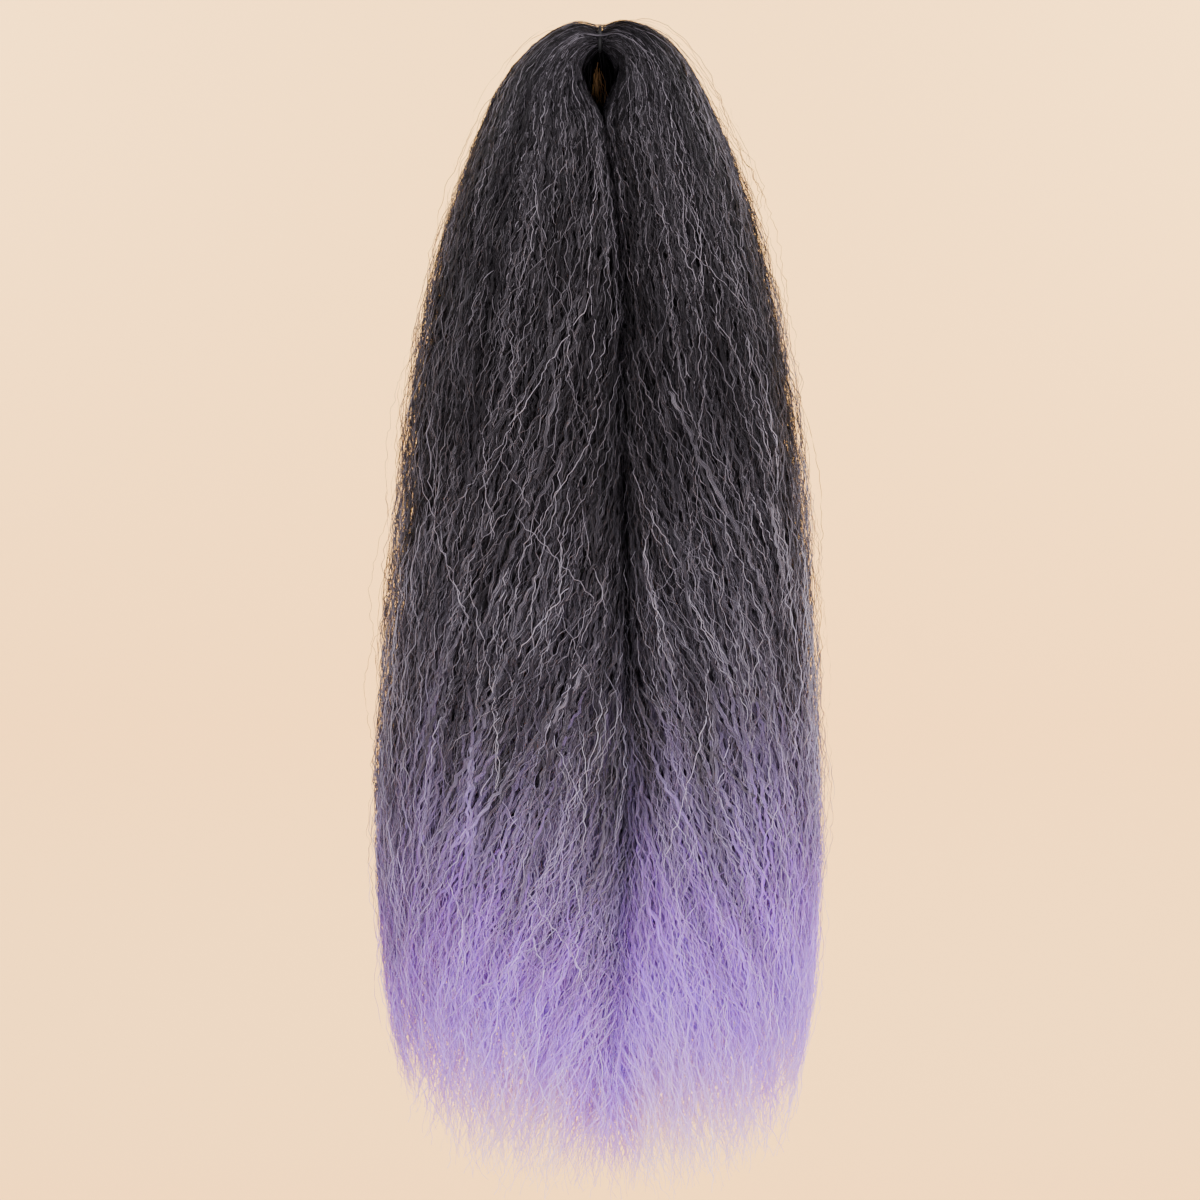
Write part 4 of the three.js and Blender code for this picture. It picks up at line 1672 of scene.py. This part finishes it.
@dataclass
class Fall:
    """One fall: its core and the fibres on and in it."""

    shape: FallShape
    seed: int
    crown: Crown = Crown(200, CROWN_STRANDS)
    under_crown: Crown = Crown(100, CROWN_BUNDLES)
    front: Mantle = Mantle(2350, STRANDS, longest=105 * MM)
    under_front: Mantle = Mantle(620, BUNDLES, longest=230 * MM, shorter=60 * MM)
    back: Mantle = Mantle(420, STRANDS, longest=140 * MM)
    under_back: Mantle = Mantle(460, BUNDLES, longest=230 * MM, shorter=60 * MM)
    tips: Tips = Tips(2250, STRANDS)
    fringe: Fringe = Fringe(1000)
    strays: Strays = Strays(110)
    # Single fibres, finer and coarser, and ribbons that stand for a few fibres side by side.
    fine: CrimpTree = CrimpTree(width=0.29 * MM)
    loose: CrimpTree = CrimpTree(width=0.4 * MM, step=4.0 * MM, wander=3.4 * MM)
    broad: CrimpTree = CrimpTree(width=1.9 * MM, step=3.2 * MM, twist=1.2)
    coarse: CrimpTree = CrimpTree(width=2.3 * MM, step=5.0 * MM, twist=1.2)

    def build(
        self, single: bpy.types.Material, bundled: bpy.types.Material, packed: bpy.types.Material
    ) -> None:
        """Builds every piece of the fall.

        Args:
            single: The finish of single fibres.
            bundled: The finish of ribbons that stand for a few fibres side by side.
            packed: The finish of the core.
        """
        side = self.shape.side.name.lower()
        strands = Strands(self.shape, np.random.default_rng(self.seed))
        Core(self.shape, self.seed).build(packed)
        crown = [self.crown.lines(strands, face) for face in Face]
        under_crown = [self.under_crown.lines(strands, face) for face in Face]
        plan = (
            ("front_fibres", self.fine, single, [self.front.lines(strands, Face.FRONT)]),
            ("front_bundles", self.broad, bundled, [self.under_front.lines(strands, Face.FRONT)]),
            ("back_fibres", self.loose, single, [self.back.lines(strands, Face.BACK)]),
            ("back_bundles", self.coarse, bundled, [self.under_back.lines(strands, Face.BACK)]),
            ("crown_fibres", self.fine, single, crown),
            ("crown_bundles", self.broad, bundled, under_crown),
            ("tip_fibres", self.loose, single, [self.tips.lines(strands)]),
            ("fringe_fibres", self.loose, single, [self.fringe.lines(strands)]),
            ("stray_fibres", self.fine, single, [self.strays.lines(strands)]),
        )
        for name, tree, finish, parts in plan:
            finish_piece(tree.sweep(f"{side}_{name}", GuideLines.join(parts), finish))


@dataclass
class EyeVeil:
    """Loose fibres that hang across the back of the eye, and a few before them whose golden brown colour
    paints the light that shines through them.
    """

    seed: int = 5
    count: int = 330
    half_width: float = 13 * MM
    top: float = 5 * MM
    foot: float = -46 * MM
    nearest: float = 9 * MM
    furthest: float = 27 * MM
    widths: tuple[float, float] = (1.5, 2.6)
    # The veil's fibres take the deepest tone, which paints the shade inside the eye.
    tone: float = 0.02
    lit_count: int = 22
    lit_middle: float = -2.6 * MM
    lit_spread: float = 2.4 * MM
    lit_top: float = -11 * MM
    lit_foot: float = -36 * MM
    lit_uneven: float = 3.5 * MM
    lit_nearest: float = 1 * MM
    lit_furthest: float = 8 * MM
    lit_widths: tuple[float, float] = (0.4, 0.8)
    lit_tone: float = 0.5
    sway: float = 1.6 * MM
    drift: float = 3 * MM
    pitches: tuple[float, float] = (9 * MM, 14 * MM)
    steps: int = 14

    def build(self, fibre: bpy.types.Material) -> None:
        """Builds the veil and the lit fibres.

        Args:
            fibre: The finish of loose fibres.
        """
        rng = np.random.default_rng(self.seed)
        x = rng.uniform(-self.half_width, self.half_width, self.count)
        y = rng.uniform(self.nearest, self.furthest, self.count)
        veil = self._hung(rng, x, y, (self.top, self.foot), self.widths, self.tone)
        finish_piece(CrimpTree().sweep("eye_veil", veil, fibre))
        x = rng.normal(self.lit_middle, self.lit_spread, self.lit_count)
        y = rng.uniform(self.lit_nearest, self.lit_furthest, self.lit_count)
        lit = self._hung(rng, x, y, (self.lit_top, self.lit_foot), self.lit_widths, self.lit_tone)
        # They start and end unevenly.
        lit.points[..., 2] += rng.normal(0, self.lit_uneven, (self.lit_count, 1))
        finish_piece(CrimpTree().sweep("eye_lit_fibres", lit, BacklitFibre().build()))

    def _hung(
        self,
        rng: np.random.Generator,
        x: np.ndarray,
        y: np.ndarray,
        heights: tuple[float, float],
        widths: tuple[float, float],
        tone: float,
    ) -> GuideLines:
        """Hangs fibres that spread from the tie and close in again on the parting.

        Args:
            rng: The eye's own random numbers.
            x: Where each hangs across the eye.
            y: How far back.
            heights: Where their upper and their lower ends are.
            widths: Least and greatest width, as a share of the tree's.
            tone: Their common tone.

        Returns:
            The guide lines.
        """
        count, t = len(x), np.linspace(0, 1, self.steps)[None, :]
        top, foot = heights
        sway = rng.normal(0, self.sway, (count, 1)) * np.sin(math.pi * t)
        bulge = np.sin(math.pi * (0.06 + 0.86 * t))
        across = x[:, None] * (0.35 + 0.65 * bulge**0.6) + sway + self.drift * t
        back = y[:, None] * (0.4 + 0.6 * bulge**0.5)
        points = np.stack([across, back, np.broadcast_to(top + (foot - top) * t, across.shape)], -1)
        outwards = np.zeros_like(points)
        outwards[..., 1] = -1
        outwards[..., 0] = rng.normal(0, 0.3, (count, 1))
        shape = points.shape[:2]
        return GuideLines(
            points=points,
            outwards=unit(outwards),
            share=np.repeat(rng.uniform(0.02, 0.3, (count, 1)), shape[1], 1),
            girth=np.repeat(rng.uniform(*widths, (count, 1)), shape[1], 1),
            crimp=np.full(shape, 0.45),
            column=np.clip(rng.normal(tone, 0.05, count), 0.004, 0.9),
            pitch=rng.uniform(*self.pitches, count),
            phase=rng.uniform(0, 2 * math.pi, count),
        )


@dataclass
class Crossing:
    """A few fibres that cross over the tie from one fall to the other."""

    seed: int = 8
    count: int = 44
    proud: float = 3.0 * MM
    dive: float = 3 * MM
    reach: float = 0.075  # how far along a fall the longest go
    tie_share: float = 0.016  # how far along one they stand proud
    widths: tuple[float, float] = (0.8, 1.3)
    pitches: tuple[float, float] = (10 * MM, 16 * MM)
    crimp: float = 0.12
    steps: int = 40

    def build(self, falls: dict[Side, FallShape], fibre: bpy.types.Material) -> None:
        """Builds the crossing fibres.

        Args:
            falls: The skins of both falls.
            fibre: The finish of loose fibres.
        """
        rng = np.random.default_rng(self.seed)
        t = np.linspace(-1, 1, self.steps)
        angle = np.abs(rng.normal(0, 0.7, (self.count, 1))) + 0.45
        angle = angle * rng.choice((-1, 1), (self.count, 1)) + rng.normal(0, 0.25, (self.count, 1)) * t
        along = np.abs(t)[None, :] * rng.uniform(0.5, 1.0, (self.count, 1)) * self.reach + 0.0002
        off = self.proud * np.exp(-((along / self.tie_share) ** 2))
        off = off - self.dive * smoothstep(0.6, 1.0, np.abs(t))[None, :]
        points = np.zeros((self.count, self.steps, 3))
        outwards = np.zeros_like(points)
        for side, part in ((Side.LEFT, t < 0), (Side.RIGHT, t >= 0)):
            skin, out = falls[side].place(along[:, part], angle[:, part], np.zeros(along[:, part].shape))
            points[:, part] = skin + out * off[:, part][..., None]
            outwards[:, part] = out
        lines = GuideLines(
            points=points,
            outwards=outwards,
            share=np.full(along.shape, 0.05),
            girth=np.repeat(rng.uniform(*self.widths, (self.count, 1)), self.steps, 1),
            crimp=np.full(along.shape, self.crimp),
            column=np.clip(rng.lognormal(-1.6, 0.6, self.count), 0.004, 0.95),
            pitch=rng.uniform(*self.pitches, self.count),
            phase=rng.uniform(0, 2 * math.pi, self.count),
        )
        layer = CrimpTree(step=1.2 * MM)
        finish_piece(layer.sweep("crossing_fibres", lines, fibre))


@dataclass
class Tie:
    """The elastic cord at the waist, which keeps its shape from the frame."""

    finish: TieElastic = field(default_factory=TieElastic)

    def build(self) -> None:
        """Dresses the frame's own tie."""
        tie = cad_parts["tie"]
        tie.data.materials.clear()
        tie.data.materials.append(self.finish.build())
        log.info("%s: %d faces", tie.name, len(tie.data.polygons))


@dataclass
class Studio:
    """The camera of the photograph, soft light and cream paper that sweeps down to a floor."""

    view_height: float = 636 * MM
    centre_z: float = -290 * MM
    lens: float = 85.0
    sensor: float = 36.0
    floor_z: float = -0.95
    wall_y: float = 2.0
    wall_top: float = 3.0
    front_y: float = -0.5
    half_width: float = 4.0
    bend: float = 0.5
    bend_steps: int = 16
    light_colour: tuple[float, float, float] = (1.0, 0.97, 0.95)

    def build(self) -> None:
        """Sets up camera, paper and lights."""
        self._camera()
        self._paper()
        # Name, place, size, power and the point that it is aimed at.
        lights = (
            ("key_left", (-1.5, -1.9, 0.6), 1.4, 65.0, (0.0, 0.0, -0.3)),
            ("key_right", (1.6, -1.7, 0.5), 1.4, 118.0, (0.0, 0.0, -0.3)),
            ("fill_low", (0.1, -0.9, -0.95), 0.8, 14.0, (0.0, 0.0, -0.55)),
            ("wall_left", (-1.5, 0.7, 0.9), 1.2, 97.0, (0.3, self.wall_y, 0.0)),
            ("wall_right", (1.5, 0.7, 0.9), 1.2, 97.0, (-0.3, self.wall_y, 0.0)),
        )
        for light in lights:
            self._light(*light)

    def _camera(self) -> None:
        """Level, straight at the front, framed as the photograph is."""
        camera = bpy.data.cameras.new("camera")
        camera.lens = self.lens
        camera.sensor_width = self.sensor
        camera.dof.use_dof = False
        holder = placed("camera", camera)
        distance = self.view_height * self.lens / self.sensor
        holder.location = (0.0, -distance, self.centre_z)
        holder.rotation_euler = (math.pi / 2, 0.0, 0.0)
        bpy.context.scene.camera = holder

    def _light(
        self, name: str, place: tuple[float, ...], size: float, power: float, aim: tuple[float, ...]
    ) -> None:
        """Adds one soft square light.

        Args:
            name: Its name.
            place: Where it stands.
            size: Its side.
            power: In watts.
            aim: The point that it shines at.
        """
        lamp = bpy.data.lights.new(name, "AREA")
        lamp.size = size
        lamp.energy = power
        lamp.color = self.light_colour
        holder = placed(name, lamp)
        holder.location = place
        holder.rotation_euler = (Vector(aim) - Vector(place)).to_track_quat("-Z", "Y").to_euler()

    def _paper(self) -> None:
        """A floor that curves up into a wall."""
        profile = [(self.front_y, self.floor_z)]
        for i in range(self.bend_steps + 1):
            turn = math.pi / 2 * i / self.bend_steps
            y = self.wall_y - self.bend + self.bend * math.sin(turn)
            profile.append((y, self.floor_z + self.bend * (1 - math.cos(turn))))
        profile.append((self.wall_y, self.wall_top))
        points = [(x, y, z) for y, z in profile for x in (-self.half_width, self.half_width)]
        faces = [(2 * i, 2 * i + 1, 2 * i + 3, 2 * i + 2) for i in range(len(profile) - 1)]
        mesh = bpy.data.meshes.new("paper")
        mesh.from_pydata(points, [], faces)
        mesh.shade_smooth()
        mesh.materials.append(StudioPaper().build())
        placed("paper", mesh)


def fall_shape(side: Side) -> FallShape:
    """Sizes one fall's skin from the frame.

    Args:
        side: Which fall.

    Returns:
        Its shape.
    """
    low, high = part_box(f"{side.name.lower()}_fall")
    tie_low, tie_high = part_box("tie")
    reach = -low.x if side is Side.LEFT else high.x
    return FallShape(
        side=side,
        reach=reach,
        drop=-low.z,
        half_depth=(high.y - low.y) / 2,
        rise=high.z,
        waist_height=(tie_low.z + tie_high.z) / 2,
    )


def main() -> None:
    """Builds the hank and its studio."""
    logging.basicConfig(level=logging.INFO, format="%(message)s")
    single = CrimpedFibre(passing=0.25).build()
    bundle = CrimpedFibre("bundled_modacrylic_fibre", lines=4.0, wobble=1.6, painted_flank_shade=1.8, glint=0.3)
    bundled = bundle.build()
    packed = PackedFibre().build()
    falls = {side: fall_shape(side) for side in Side}
    for side, seed in ((Side.LEFT, 11), (Side.RIGHT, 23)):
        Fall(falls[side], seed).build(single, bundled, packed)
    EyeVeil().build(single)
    Crossing().build(falls, single)
    Tie().build()
    Studio().build()


if __name__ == "__main__":
    main()
